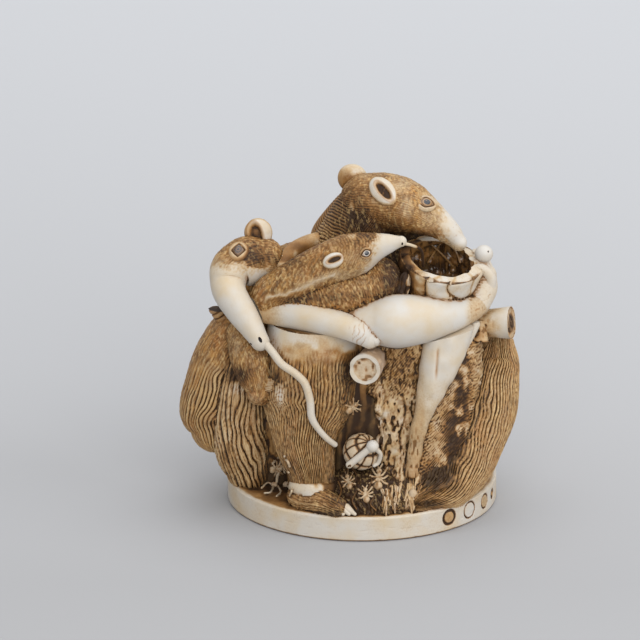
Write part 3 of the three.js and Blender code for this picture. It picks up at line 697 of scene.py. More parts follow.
def logForms(grow=0.0, plain=False):
    def logRelief(c):
        onEnd = smooth(0.98, 1.0, c.radius < 0.98 * 4.9 * step) * (c.share > 0.99)
        grain = smooth(0.1, 0.5, specks(c, (0.5, 0.5, 0.9), logLook["seed"]))
        warm = smooth(500, 482, c.column + waver(c, 9, 1.5, logLook["seed"] + 1))
        pale = smooth(0.96, 0.86, c.radius / (4.9 * step)) * smooth(0.5, 0.66, c.radius / (4.9 * step)) * onEnd
        pits = 0.8 * grain * onEnd + 0.5 * warm * grain
        return {"height": -logLook["grainDepth"] * pits + waver(c, 0.25, 2.5, 3),
                "tone": 0.06 + 0.4 * warm + 0.3 * onEnd,
                "stain": held(onEnd * (0.75 - 0.6 * pale + 0.3 * grain) + 0.4 * warm * grain)}

    relief = None if plain else logRelief
    gap, along = (0.8, 0.8) if plain else (0.2, 0.25)
    return [
        sweep([[31, 9, 48.6, 4.2], [35, 9.6, 49.2, 4.2], [39, 10.4, 49.8, 4.4], [43.3, 11.6, 50.3, 4.9]], relief,
              gap=gap, along=along, flat=True, grow=grow, endRings=1 if plain else 14, facing=0),
        sweep([[34.2, 13.5, 51.5, 0.8], [34, 15, 46, 2.8]], relief, gap=gap, along=along, flat=True, grow=grow,
              endRings=1 if plain else 6, facing=0),
    ]


rightTailLook = {"strands": 52, "depth": 0.36, "innerStrands": 34, "seed": 83}


def rightTailForms():
    seed = rightTailLook["seed"]
    outer = {"strands": rightTailLook["strands"], "depth": rightTailLook["depth"], "wander": 1.0, "fuzz": 0.05,
             "seed": seed, "tone": lambda c: 0.62 + 0.25 * smooth(485, 512, c.column) + waver(c, 0.22, 3, seed)}
    inner = {"strands": rightTailLook["innerStrands"], "depth": 0.45, "wander": 1.2, "fuzz": 0.05, "seed": seed + 1,
             "tone": 0.75, "extra": 0.22}
    return [
        sweep([[40.2, 2, 42.5, 3.6], [39.8, 4, 36.4, 5.9], [38.4, 6.5, 32, 7.5], [36.4, 9.5, 23, 8.6],
               [32.8, 14, 15, 8.6], [29.2, 19, 9, 8.4], [24.5, 24.5, 4, 6.6], [17, 30, 1.4, 3.2]], fur(outer),
              gap=0.13, along=0.28, turn=-0.6, sway=0.06, facing=0.55),
        sweep([[36.5, 7, 39, 3.6], [33.5, 10, 31, 5.6], [30, 14, 22, 6.2], [26, 18.5, 14, 6], [21, 23.5, 7, 5],
               [15, 28, 2, 3]], fur(inner), gap=0.15, along=0.28, turn=-0.5, facing=0.55),
    ]


backLook = {"strands": 60, "depth": 0.34, "gap": 0.3, "along": 0.45, "seed": 97}


def ribbed(pitch, depth, tone, seed=0):
    def relief(c):
        wobble = waver(c, 0.35, 2.0, seed)
        ridge = ridges(c.travel / pitch + wobble)
        groove = bump(ridge, 0, 0.45)
        return {"height": -depth * groove, "stain": 0.95 * groove, "tone": held(tone + waver(c, 0.2, 2, seed + 1))}
    return relief


def backForms():
    seed, gap, along = backLook["seed"], backLook["gap"], backLook["along"]
    back = {"strands": backLook["strands"], "depth": backLook["depth"], "wander": 0.7, "fine": 0.0, "tone": 0.72,
            "seed": seed}
    haunch = {**back, "strands": 44, "seed": seed + 1}
    foot = {"fuzz": 0.18, "tone": 0.5, "seed": seed + 2, "across": 0.5, "length": 1.43}
    return [
        sweep([[1, -11, 60, 17], [2, -12, 40, 19], [2, -12, 20, 20], [1, -11, 2, 18]], fur(back), gap=gap,
              along=along, depth=0.88, facing=-0.3),
        sweep([[23, -8, 44, 9], [25, -10, 30, 13], [25, -11, 18, 12.5], [23, -12, 3, 9]], fur(haunch), gap=gap,
              along=along, facing=-0.3),
        sweep([[-22, -8, 44, 9], [-24, -11, 30, 13], [-24, -12, 17, 12.5], [-22, -12, 3, 9]], fur(haunch), gap=gap,
              along=along, facing=-0.3),
        sweep([[0, -24, 58, 4.4], [0, -27.5, 44, 4.6], [0, -29, 28, 4.4], [0, -28.4, 12, 4], [0, -28, 4, 3.4]],
              ribbed(0.9, 0.3, 0.7, seed), gap=0.3, along=0.16, facing=-0.3),
        *[sweep([[17 * side, -18, 2.6, 5], [13 * side, -25, 2.2, 4.4], [9.5 * side, -30, 1.6, 3.2]], fur(foot),
                gap=0.25, along=0.3, facing=-0.3) for side in (-1, 1)],
        sweep([[1, -3, -3, 29], [1, -3, 14, 30], [0, -3, 34, 30], [0, -3, 60, 29]], fur(back), gap=0.5, along=0.6,
              depth=0.85, flat=True, facing=0),
    ]


# Small forms on the front: the gridded ball with its bar and hook, and the ants

ballLook = {"radius": 5.4, "columns": 10, "rows": 8, "plateTone": 0.22}


def ballForms():
    def plates(c):
        column = np.abs(np.sin(c.turn * ballLook["columns"] / 2))
        row = np.abs(np.sin(c.lean * ballLook["rows"] / 2))
        line = held(np.exp(-(column * np.maximum(c.out, 0.15) / 0.26) ** 2) + bump(row, 0, 0.38))
        return {"height": -0.35 * line, "stain": line, "tone": ballLook["plateTone"]}

    radius = ballLook["radius"]
    return [
        lump([-0.3, 26.5, 16], [radius, radius, radius], plates, facingWay=(0.45, -0.5, 0.75), roll=0.3, gap=0.16),
        sweep([[-3.8, 31.6, 13.8, 1], [2.4, 32.2, 19.4, 1]], ivory(0.02), gap=0.2, along=0.3, facing=0),
        lump([2.9, 32.2, 19.8], [1.8, 1.8, 1.8], ivory(0.0), gap=0.2),
        sweep([[3.6, 30.6, 18.6, 0.7], [5.2, 29.6, 16.4, 0.7], [4.6, 29, 13.6, 0.7], [3.4, 29.4, 12.8, 0.6]],
              ivory(0.02), gap=0.16, along=0.2, facing=0),
    ]


def facesOf(solid):
    # how far forward, in steps, a line of sight meets the solid
    def meets(across, up):
        start = placeAt(across, picture["standOff"], up)
        hit, spot, _, _ = solid.ray_cast(Vector(start), Vector((0, 1, 0)))
        return -spot.y / step if hit else 0.0
    return meets


def antForms(face, spot, heading, size):
    def at(along, aside, lift):
        across = spot[0] + size * (along * math.cos(heading) - aside * math.sin(heading))
        above = spot[1] + size * (along * math.sin(heading) + aside * math.cos(heading))
        return [across, face(across, above) + lift * size, above]

    pale = ivory(0.3, stain=lambda c: 0.22 + waver(c, 0.4, 0.5, 5), swellBy=0.02)
    look = {"gap": 0.13, "along": 0.16, "facing": 0}
    legs = [sweep([[*at(0.3, 0, 0.3), 0.42 * size], [*at(0.3 + lean, 1.3 * side, 0.9), 0.3 * size],
                   [*at(0.3 + 1.9 * lean, 2.5 * side, 0), 0.34 * size]], pale, **look)
            for side in (-1, 1) for lean in (-0.7, 0.1, 0.8)]
    feelers = [sweep([[*at(2.0, 0.2 * side, 0.5), 0.26 * size], [*at(3.0, 0.9 * side, 0.9), 0.2 * size]],
                     pale, **look) for side in (-1, 1)]
    return [
        lump(at(1.5, 0, 0.5), [0.85 * size] * 3, pale, gap=0.13),
        lump(at(-1.3, 0, 0.5), [1.2 * size, 1.3 * size, 1.1 * size], pale, gap=0.13),
        sweep([[*at(1.3, 0, 0.4), 0.6 * size], [*at(-0.9, 0, 0.4), 0.6 * size]], pale, **look),
        *legs, *feelers,
    ]


def sightLine():
    elevation = math.radians(picture["elevation"])
    return Vector((0, math.cos(elevation), -math.sin(elevation)))


def sightOf(solid):
    # where the camera sees the solid at a picture column and row, in steps
    ahead = sightLine()

    def meets(column, row, lift=0.0):
        up = (picture["row"] - row) * picture["up"] - picture["lift"] + picture["lean"] * picture["standOff"]
        start = placeAt((column - picture["column"]) * picture["across"], picture["standOff"], up)
        hit, spot, _, _ = solid.ray_cast(Vector(start), ahead)
        spot = spot - ahead * lift * step if hit else Vector((0, 0, 0))
        return [spot.x / step, -spot.y / step, (spot.z - plinth["height"]) / step]
    return meets


# twigs beside the leg, tufts over the edge of the plinth and small seeds: picture paths, thickness, tone
twigPaths = [([(277, 481), (278, 474), (282, 467)], 0.45, 0.25),
             ([(273, 463), (279, 457), (287, 459), (290, 465)], 0.32, 0.28),
             ([(274, 470), (281, 465), (289, 471)], 0.32, 0.28), ([(285, 455), (281, 463), (285, 472)], 0.3, 0.25),
             ([(262, 487), (268, 482), (275, 485)], 0.28, 0.2), ([(287, 485), (292, 488), (290, 494)], 0.28, 0.2),
             ([(274, 485), (271, 491), (265, 492)], 0.26, 0.2), ([(278, 485), (281, 491), (277, 495)], 0.26, 0.2),
             ([(346, 472), (349, 464), (354, 470)], 0.2, 0.5), ([(352, 466), (356, 474), (353, 484)], 0.2, 0.5),
             ([(366, 470), (371, 478), (368, 487)], 0.2, 0.5), ([(338, 480), (341, 489), (337, 499)], 0.2, 0.5),
             ([(356, 490), (352, 499), (356, 507)], 0.2, 0.5), ([(374, 494), (370, 502), (375, 508)], 0.2, 0.5)]
bowlTwigs = [[(427, 263), (434, 252), (439, 245)], [(431, 246), (442, 256), (452, 267)],
             [(447, 244), (455, 253), (459, 263)]]
tuftSpots = {"from": 382, "to": 418, "count": 30, "top": 490, "fall": 18, "thick": 0.5, "tone": 0.32}
seedSpots = [(274.5, 484.5, 1.1, 1.1), (286.5, 484, 1.1, 1.1), (412, 493, 1.3, 1.7)]


def smallForms(solid):
    meets = sightOf(solid)
    forms = [sweep([[*meets(*spot, 0.2 + thick), thick] for spot in path], ivory(tone, swellBy=0.03), gap=0.14,
                   along=0.18, facing=0) for path, thick, tone in twigPaths]
    chance = np.random.default_rng(11)
    for i in range(tuftSpots["count"]):
        column, sway = chance.uniform(tuftSpots["from"], tuftSpots["to"]), chance.uniform(-2.2, 2.2)
        top, fall = tuftSpots["top"] + chance.uniform(-9, 7), tuftSpots["fall"] * chance.uniform(0.5, 1)
        path = [(column - sway, top), (column + chance.uniform(-1, 1), top + fall / 2), (column + sway, top + fall)]
        tone = tuftSpots["tone"] + chance.uniform(-0.15, 0.25)
        forms.append(sweep([[*meets(*spot, 0.15), tuftSpots["thick"] * (1 - 0.3 * k)] for k, spot in enumerate(path)],
                           fur({"strands": 4, "depth": 0.08, "tone": tone, "seed": i}), gap=0.14, along=0.18,
                           facing=0))
    return forms + [lump(meets(column, row, 0.5), [wide, tall, 0.9], ivory(0.2, stain=0.15), gap=0.15)
                    for column, row, wide, tall in seedSpots]


antPlaces = [([4.7, 8.6], 1.5, 1.0), ([1, 5.2], 1.7, 0.8), ([-4, 7.4], 1.9, 0.75), ([-3, 28.6], 0.5, 0.85),
             ([-25, 5.2], 0.15, 0.85)]


# The lid: the large animal's back, neck and head, the young one, the arms, the hand and the hollow stump

maneLook = {"pitch": 0.62, "depth": 0.22, "tone": 0.82, "reach": 22, "ribRows": 3.0, "seed": 101}


def lidBackForms():
    seed = maneLook["seed"]
    chest = {"fuzz": 0.22, "down": True, "across": 0.58, "length": 1.56, "slant": 0.1, "seed": seed,
             "tone": lambda c: 0.75 + waver(c, 0.3, 2, seed)}
    domeCoat = {"fuzz": 0.24, "down": True, "across": 0.6, "length": 2.2, "tone": 0.75, "seed": seed + 1}

    def neckRelief(c):
        # short fur, and the ribs of the mane along the left edge
        column, row = c.column, c.row
        edge = np.interp(row, [170, 187, 205, 213, 233, 242, 265], [368, 354, 337, 330, 322, 316, 308])
        share = smooth(edge + maneLook["reach"] + 5, edge + maneLook["reach"] - 5, column + waver(c, 5, 1.0, seed))
        rib = (-0.5 * column + 0.86 * row + waver(c, 1.2, 1.6, seed + 3)) / maneLook["ribRows"]
        ridge = ridges(rib)
        groove = bump(ridge, 0, 0.5)
        made = fur({"fuzz": 0.2, "seed": seed + 2, "tone": 1.0,
                    "extra": lambda k: 0.2 + 0.25 * noise(k.points / 1.5, seed)})(c)
        made["height"] = made["height"] * (1 - share) - 0.22 * groove * share
        made["stain"] = held(made["stain"] * (1 - share) + 0.95 * groove * share)
        made["crest"] = made["crest"] * (1 - share) + 0.8 * smooth(0.7, 1, ridge) * share
        made["tone"] = made["tone"] * (1 - 0.2 * share)
        return made

    def limbTone(c):
        return 0.55 + waver(c, 0.25, 1.5, 4)

    return [
        lump([0, -4, 49], [29, 20.5, 24.5], fur(domeCoat), gap=0.4, facingWay=(0, 0, 1), group=8),
        lump([-19, -6, 51], [13, 17, 17], fur(domeCoat), gap=0.4, facingWay=(0, 0, 1), group=8),
        lump([-4, 10, 58], [13, 12, 14], fur(chest), gap=0.15, group=6),
        lump([15, -5, 65], [13, 11, 8], fur(domeCoat), gap=0.35, facingWay=(0, -1, 0), group=8),
        sweep([[-8, -6, 58, 13], [-3.8, -3, 69, 10.6], [0, -1, 77.5, 9.8], [3.4, 0, 82.5, 9]], neckRelief, gap=0.16,
              along=0.14, facing=0.4, group=7),
        sweep([[2.6, -4, 87.4, 2.8], [-3, -3, 83.4, 3.4], [-7.4, -4, 77.6, 3.8], [-11, -8, 70.4, 4],
               [-10, -16, 64, 4], [-5, -22, 57, 4.2], [-2, -24.5, 50, 4.2]],
              ribbed(maneLook["pitch"], maneLook["depth"], maneLook["tone"], seed), gap=0.25, along=0.11, facing=0.2,
              group=7),
        sweep([[-23.4, 8, 66.5, 2.2], [-20.2, 4, 70, 2.2], [-14, 0, 71.4, 2.4], [-9, -1, 70, 3]], ivory(limbTone),
              gap=0.2, along=0.3, group=8),
    ]


motherLook = {"fuzz": 0.17, "snoutColumn": 437, "snoutBlur": 13, "seed": 109}


def motherHeadForms():
    seed = motherLook["seed"]

    def toneAt(c):
        border = motherLook["snoutColumn"] + 0.14 * (c.row - 215) + waver(c, 5, 0.5, seed)
        snout = smooth(-motherLook["snoutBlur"], motherLook["snoutBlur"], c.column - border)
        # under: painted shade, the underside of the snout turned browner
        under = 0.35 * smooth(232, 242, c.row - 0.35 * (c.column - 430))
        return held((1 - snout) * (0.62 + waver(c, 0.35, 2.2, seed)) + 0.03 + under * snout)

    def farEar(c):
        return {"tone": 0.04 + 0.75 * smooth(166, 181, c.row + waver(c, 6, 1.5, 2)), "height": waver(c, 0.12, 2.0, 3)}

    coat = {"fuzz": motherLook["fuzz"], "tone": toneAt, "fuzzShare": lambda c: smooth(0.12, 0.5, toneAt(c)),
            "across": 0.53, "length": 1.04, "seed": seed, "swell": 0.12,
            "extra": lambda c: 0.5 * smooth(0.3, 0.7, specks(c, (0.5, 0.5, 0.25), seed + 7))
            * bump(c.column, 455, 4) * bump(c.row, 229, 9)}
    return [
        sweep([[1.8, 0, 83.6, 8.3], [8.5, 1.6, 83.6, 8.6], [13, 3.4, 82.9, 7.8], [17.5, 5, 81.2, 6.2],
               [22, 6.2, 78.9, 4.5], [25.4, 6.8, 76.2, 3.5], [27.8, 7.4, 73.6, 2.5]], fur(coat), gap=0.16, along=0.2,
              facing=0.45),
        earLens([5.9, 7.0, 89.2], [5.1, 3.4, 2.0], -0.8, (-0.12, -0.74, 0.66), 0.68),
        lump([-2.9, -5, 89], [4.3, 4.2, 2.6], farEar, gap=0.22),
    ]


youngLook = {"fuzz": 0.2, "snoutColumn": 374, "seed": 113}


def youngForms():
    seed = youngLook["seed"]

    def toneAt(c):
        snout = smooth(-13, 10, c.column - youngLook["snoutColumn"] + waver(c, 5, 0.5, seed) + 0.3 * (c.row - 246))
        face = smooth(322, 345, c.column)
        return (1 - snout) * (1 - stripeAt(c)) * (0.9 - 0.38 * face + waver(c, 0.25, 2.0, seed)) + 0.03

    def stripeAt(c):
        # the pale stripe from the rump to the cheek, dipping a little
        share = held((c.column - 262) / 72)
        line = 299.5 - 25 * share + 3 * np.sin(math.pi * share) + waver(c, 2, 1.2, seed + 6)
        return 0.75 * bump(c.row, line, 3.8) * smooth(256, 268, c.column) * smooth(344, 332, c.column)

    bodyCoat = {"fuzz": youngLook["fuzz"], "tone": toneAt, "fuzzShare": lambda c: smooth(0.1, 0.35, toneAt(c)),
                "across": 0.51, "length": 1.3, "seed": seed, "down": True, "slant": -0.5}
    lowerCoat = {"fuzz": 0.22, "down": True, "across": 0.54, "length": 1.56, "slant": 0.1, "seed": seed + 1,
                 "tone": lambda c: (0.88 + waver(c, 0.3, 2, seed + 1)) * (1 - stripeAt(c))}
    return [
        sweep([[-30, 11.5, 56, 4.6], [-26.4, 13, 58.4, 6.6], [-18.2, 15.6, 64.2, 7.1], [-8.5, 17.6, 70.8, 6.9],
               [-1.8, 19.4, 74.4, 6.3], [3.5, 21.4, 77.2, 4.2], [7.6, 22.6, 78.7, 2.8], [11.1, 23.6, 79.7, 1.6]],
              fur(bodyCoat), gap=0.15, along=0.22, facing=0.5),
        sweep([[-28, 12, 54, 6], [-18, 15.6, 57.5, 7.4], [-7, 18, 61, 7.6], [4, 16, 64, 8]], fur(lowerCoat), gap=0.16,
              along=0.22, facing=0.5),
        earLens([-8.4, 24.6, 74.2], [3.3, 2.2, 1.5], 0.4, (-0.05, -0.88, 0.47), 0.7),
        sweep([[11.5, 23.8, 79.2, 0.5], [14.5, 22.6, 78, 0.42], [17, 20, 75.5, 0.4], [17.5, 17.5, 70, 0.4]],
              lambda c: {"tone": 0.15 + 0.8 * smooth(0.3, 0.7, c.share), "stain": smooth(0.35, 0.7, c.share)},
              gap=0.14, along=0.2, facing=0),
    ]


armLook = {"creaseDepth": 0.1, "wristTone": 0.3, "seed": 127}


def armForms():
    seed = armLook["seed"]

    def forearmRelief(c):
        wrist = smooth(462, 472, c.column)
        left = smooth(350, 322, c.column)
        speckle = smooth(0.25, 0.6, specks(c, 0.55, seed))
        return {"height": waver(c, 0.12, 5, seed) - 0.08 * speckle * wrist,
                "tone": 0.02 + armLook["wristTone"] * wrist + 0.12 * left, "stain": 0.4 * speckle * wrist}

    def smallArmRelief(c):
        left = smooth(292, 262, c.column)
        speckle = smooth(0.2, 0.6, specks(c, 0.6, seed + 1))
        fold = ridges((c.column + 0.5 * c.row + waver(c, 3, 1.5, seed + 2)) / 5.5)
        lines = bump(fold, 0, 0.3) * smooth(343, 354, c.column)
        lines = lines * smooth(0.0, 0.3, specks(c, 1.4, seed + 2) + 0.2)
        return {"height": waver(c, 0.1, 4, seed) - 0.1 * speckle * left - armLook["creaseDepth"] * lines,
                "tone": 0.04 + 0.42 * left, "stain": 0.35 * speckle * left + 0.45 * lines}

    handRelief = ivory(0.12, wrinkles=0.14, seed=seed + 3)
    fingers = [sweep([[36.6 - 0.3 * i, 11.5 - 2.4 * i, 60 + i, 1.7],
                      [37 - 0.5 * i, 11.4 - 2.6 * i, 64 + 0.8 * i, 1.7],
                      [34.6 - 0.6 * i, 11.6 - 2.6 * i, 67 + 0.6 * i, 1.5], [31.4, 11.4 - 2.4 * i, 66.6, 1.2]],
                     ivory(0.08, swellBy=0.1, seed=i), gap=0.16, along=0.2, facing=0.2) for i in range(4)]
    pads = [sweep([[-0.6 + 1.5 * i, 29, 54.6 - i, 1.5], [0.8 + 1.4 * i, 30, 52.6 - 0.5 * i, 1.4],
                   [1.2 + 1.3 * i, 29.6, 51.4 - 0.3 * i, 1.1]], ivory(0.05, wrinkles=0.1, seed=i), gap=0.16,
                  along=0.2, facing=0.2) for i in range(3)]
    return [
        sweep([[-29, 14, 54.6, 4.2], [-18.2, 21.4, 56.2, 4.3], [-8.5, 26, 55.4, 4.1], [-1.6, 28.4, 53.6, 3.8],
               [1.6, 28.8, 51.6, 3]], smallArmRelief, gap=0.2, along=0.28),
        *pads,
        sweep([[-9, 22, 53, 3], [-2, 23.6, 54.3, 4.8], [3.8, 24, 55, 6.6], [9.4, 24.4, 55.5, 7.9],
               [17, 22.8, 55.6, 7.1], [24.3, 19.8, 55.5, 5.6], [30.2, 15.6, 55.8, 4.3], [33.4, 12.6, 56.8, 3.7]],
              forearmRelief, gap=0.25, along=0.35),
        sweep([[33.4, 12.6, 57, 3.8], [35.2, 10, 60.5, 4], [35.6, 8.6, 64, 3.4]], handRelief, gap=0.18, along=0.22),
        *fingers,
    ]


stumpLook = {"top": [22.8, 12.4, 70.4], "lean": 0.28, "petals": 11, "barkTone": 0.85, "seed": 131}


def stumpForms():
    seed = stumpLook["seed"]
    x, d, z = stumpLook["top"]
    rimRadius = hollows["bowlRadius"] + hollows["barkWall"] / step

    def rimRelief(c):
        drift = 0.5 * noise(np.stack([2 * np.cos(c.around), 2 * np.sin(c.around), c.travel / 5], axis=-1), seed)
        ridge = ridges(stumpLook["petals"] * c.around / (2 * math.pi) + drift)
        crack = bump(ridge, 0, 0.09) * smooth(1.0, 0.96, c.share)
        foot = smooth(0.45, 0.0, c.share)
        inner = smooth(0.97, 0.86, c.radius / (rimRadius * step))
        brow = smooth(0.85, 1.0, c.share) * (1 - inner)
        left = smooth(428, 408, c.column + waver(c, 6, 1.0, seed))
        lobes = 0.5 * (ridge ** 0.5 - 1) * (1 - 0.8 * inner)
        return {"height": lobes - 0.2 * crack * (1 - inner) - 0.4 * brow - 0.5 * foot + waver(c, 0.3, 2, seed + 1),
                "tone": 0.12 + 0.35 * foot + 0.3 * smooth(0.5, 0.0, ridge) + waver(c, 0.12, 1.2,
                                                                                   seed + 4) + 0.45 * left,
                "stain": held(0.5 * crack * (1 - inner) + 0.3 * (foot + left) * smooth(0.6, 0.1, ridge))}

    def barkRelief(c):
        height, stain, _ = strandsOn(c, 46, 0.45, 1.6, seed + 2)
        return {"height": height, "stain": held(0.72 + 0.28 * stain), "tone": stumpLook["barkTone"]}

    def strandRelief(c):
        height, stain, _ = strandsOn(c, 8, 0.3, 0.8, seed + 3)
        dark = smooth(409, 403, c.column + waver(c, 5, 0.8, seed))
        return {"height": height + waver(c, 0.2, 1.0, seed), "stain": held(0.7 * stain + 0.85 * dark),
                "tone": 0.25 + 0.6 * dark}

    rim = sweep([[x - 1.8, d - 2, z - 8.5, rimRadius - 0.6], [x, d, z, rimRadius + 0.3]], rimRelief, gap=0.16,
                along=0.16, flat=True, endRings=30, facing=0.4)
    trunk = sweep([[17, 8, 44, 14], [19.5, 9.4, 54, 12.8], [21, 10.4, 61, 11], [x, d, z - 3.5, rimRadius - 1.6]],
                  barkRelief, gap=0.18, along=0.3, flat=True, facing=0.4)
    strands = [sweep([[12.6 - 2.4 * i, 19 - 2 * i, 67 - 2 * i, 1.6], [11 - 2.2 * i, 20.5 - 1.4 * i, 60, 1.8],
                      [10 - 2 * i, 20, 54, 1.8]], strandRelief, gap=0.16, along=0.25, facing=0.2) for i in range(3)]
    return [trunk, rim, *strands]


def bowlCutter():
    # the hollow of the stump: a leaning tapered bore with twigs showing in its dark wall
    x, d, z = stumpLook["top"]
    seed = stumpLook["seed"] + 5
    deep, above = hollows["bowlDepth"] / step, 6
    sides, rows = 150, 40
    turn = bearings(sides)
    levels = np.linspace(-deep, above, rows)
    radius = np.interp(levels, [-deep, above], [hollows["bowlRadius"] - 2, hollows["bowlRadius"] + 0.4])
    inner = np.linspace(0.04, 0.96, 16)
    radii = np.concatenate([inner * radius[0], radius])
    heights = np.concatenate([np.full(16, levels[0]), levels])
    local = np.stack([radii[:, None] * np.cos(turn), radii[:, None] * np.sin(turn),
                      np.broadcast_to(heights[:, None], (len(radii), sides))], axis=-1) * step
    lean = stumpLook["lean"]
    spin = np.array([[1, 0, 0], [0, math.cos(lean), -math.sin(lean)], [0, math.sin(lean), math.cos(lean)]])
    ends = np.array([[0, 0, -deep], [0, 0, above]]) * step

    def relief(c):
        points = c.points
        twig = noise(points / np.array([0.7, 0.9, 3.0]) + 0.5 * points[..., :1], seed)
        twig = twig + waver(c, 0.6, 0.8, seed + 1)
        share = smooth(0.1, 0.6, twig)
        return {"height": 0.7 * smooth(-0.6, 0.2, -twig) * smooth(-0.8, -2.2, heights[:, None]), "tone": 0.9,
                "stain": 0.5 + 0.45 * share, "gloss": 0.9, "crest": 0.25 * smooth(0.1, -0.5, twig)}

    origin = placeAt(x, d, z)
    return outward(gridForm(local @ spin.T + origin, ends @ spin.T + origin, {}, relief, 6))


def snoutTipForms():
    def toneAt(c):
        return 0.02 + 0.4 * smooth(280, 296, c.row)

    return [
        sweep([[24, -6, 50, 8], [31, -2, 58, 4.6], [34.4, 4, 64, 2.6], [35.1, 8, 67.6, 1.7], [35.2, 8.6, 69.6, 2]],
              ivory(toneAt), gap=0.22, along=0.28, facing=0),
        lump([35.2, 8.8, 70.6], [2.7, 2.6, 2.7], ivory(0.0), gap=0.18),
    ]


# Eyes: a closed lens let into the skin, with a lid round a ball

def eyeForm(centre, radii, roll, facingWay, look, group):
    def relief(c):
        out = np.where(c.front, c.out, 1.0)
        across, upward = c.acrossShare, c.upShare
        inner = (np.abs(across) / look["ballAcross"]) ** look["corner"] + (np.abs(upward)
                                                                           / look["ballUp"]) ** look["corner"]
        inner = inner ** (1 / look["corner"])
        line = bump(inner, 1.1, look.get("line", 0.14))
        ball = smooth(1.05, 0.8, inner) * c.front
        aside, above = across - look["pupil"][0], upward - look["pupil"][1]
        fromPupil = np.sqrt(aside ** 2 + above ** 2)
        pupil = smooth(look["pupilSize"] + 0.06, look["pupilSize"] - 0.06, fromPupil) * ball
        lid = bump(inner, 1.4, 0.2)
        rim = 0.5 * bump(fromPupil, look.get("iris", look["pupilSize"] * 1.55), 0.07) * ball
        height = step * (-0.35 * line + 0.08 * lid - 0.1 * ball) * c.front
        # glint: a painted highlight, a small spot kept clear of the pupil's dark
        glint = smooth(0.09, 0.03, np.sqrt((aside + 0.1) ** 2 + (above - 0.12) ** 2)) * 0.6
        return {"height": height, "tone": look["ballTone"] * ball + look["lidTone"] * (1 - ball) * out,
                "stain": held(0.95 * line + look.get("ballStain", 0.3) * ball + rim) * c.front,
                "ink": pupil * (1 - glint), "gloss": ball}

    return lump(centre, radii, relief, facingWay=facingWay, roll=roll, gap=0.09, group=group)


def nostril(centre, radii, roll=0.0, facingWay=(0, -1, 0), group=7):
    return lump(centre, radii, lambda c: {"stain": 1.0, "tone": 1.0, "ink": 0.7}, facingWay=facingWay, roll=roll,
                gap=0.12, group=group)


# Plinth with its round marks

markPlaces = [{"bearing": 0.70, "radius": 1.75, "line": 0.5, "disc": 0.55},
              {"bearing": 0.92, "radius": 1.85, "line": 0.22, "disc": 0.0},
              {"bearing": 1.14, "radius": 1.6, "line": 0.24, "disc": 0.35},
              {"bearing": 1.31, "radius": 1.1, "line": 0.6, "disc": 0.9}]


def plinthForm():
    edge, height = plinth["edge"], plinth["height"]
    levels = np.concatenate([np.linspace(0, edge, 5), np.linspace(edge, height - edge, 34)[1:],
                             np.linspace(height - edge, height, 6)[1:]])
    inward = np.where(levels < edge, 1 - edge / plinth["width"] * 2 * (1 - levels / edge) ** 2, 1.0)
    over = held((levels - (height - edge)) / edge)
    inward = inward - 2 * edge / plinth["width"] * 2 * (1 - np.sqrt(held(1 - over ** 2)))
    top = np.linspace(0.96, 0.3, 26)
    shares = np.concatenate([inward, inward[-1] * top])
    heights = np.concatenate([levels, np.full(len(top), height)])
    dense = np.linspace(0.55, 1.45, 330)
    rest = np.linspace(1.45, 0.55 + 2 * math.pi, 260)[1:-1]
    bearing = np.concatenate([dense, rest])[::-1]
    points = np.stack([plinth["width"] / 2 * shares[:, None] * np.sin(bearing),
                       -plinth["depth"] / 2 * shares[:, None] * np.cos(bearing),
                       np.broadcast_to(heights[:, None], (len(shares), len(bearing)))], axis=-1)
    poles = np.array([[0, 0, 0], [0, 0, height]])

    def relief(c):
        depth, stain, tone = 0.0, 0.0, 0.1 + waver(c, 0.08, 3, 5)
        onWall = (heights[:, None] < height - edge * 0.5) & (heights[:, None] > 0.1)
        for mark in markPlaces:
            aside = (bearing[None] - mark["bearing"]) * plinth["width"] / 2
            away = np.sqrt(aside ** 2 + (heights[:, None] - 0.56 * height) ** 2)
            ring = smooth(mark["radius"] + 0.12, mark["radius"] - 0.02, away) \
                * smooth(mark["radius"] - mark["line"] - 0.14, mark["radius"] - mark["line"], away) * onWall
            disc = smooth(mark["radius"], mark["radius"] - 0.5, away) * onWall
            depth = depth - plinth["markDepth"] * ring
            stain = stain + 0.85 * ring
            tone = tone + mark["disc"] * disc
        topSide = heights[:, None] >= height - 0.01
        scuffs = smooth(0.5, 0.75, specks(c, (0.9, 0.9, 0.4), 6))
        lowLine = smooth(0.55, 0.1, heights[:, None])
        growth = np.where(topSide, waver(c, 0.3, 1.5, 7), -plinth["scuff"] * scuffs * onWall)
        return {"height": depth + growth,
                "stain": held(stain + 0.1 * scuffs * onWall + 0.7 * lowLine + 0.3 * topSide),
                "tone": held(tone + 0.5 * topSide + 0.25 * lowLine)}

    return outward(gridForm(points, poles, {}, relief, 9))


# The seam and the two castings

seamLook = {"dip": 5.7, "middle": 8, "leftSpread": 9, "rightSpread": 14, "cells": 160, "pale": 0.1, "dark": 0.8}


def seamAt(x, y):
    across, forward = x / step, -y / step
    spread = np.where(across < seamLook["middle"], seamLook["leftSpread"], seamLook["rightSpread"])
    dip = seamLook["dip"] * bump(across, seamLook["middle"], spread)
    wall = hollows["depth"] / (2 * step)
    return plinth["height"] + (figurine["seamLevel"] - dip * smooth(wall - 3, wall + 3, forward)) * step


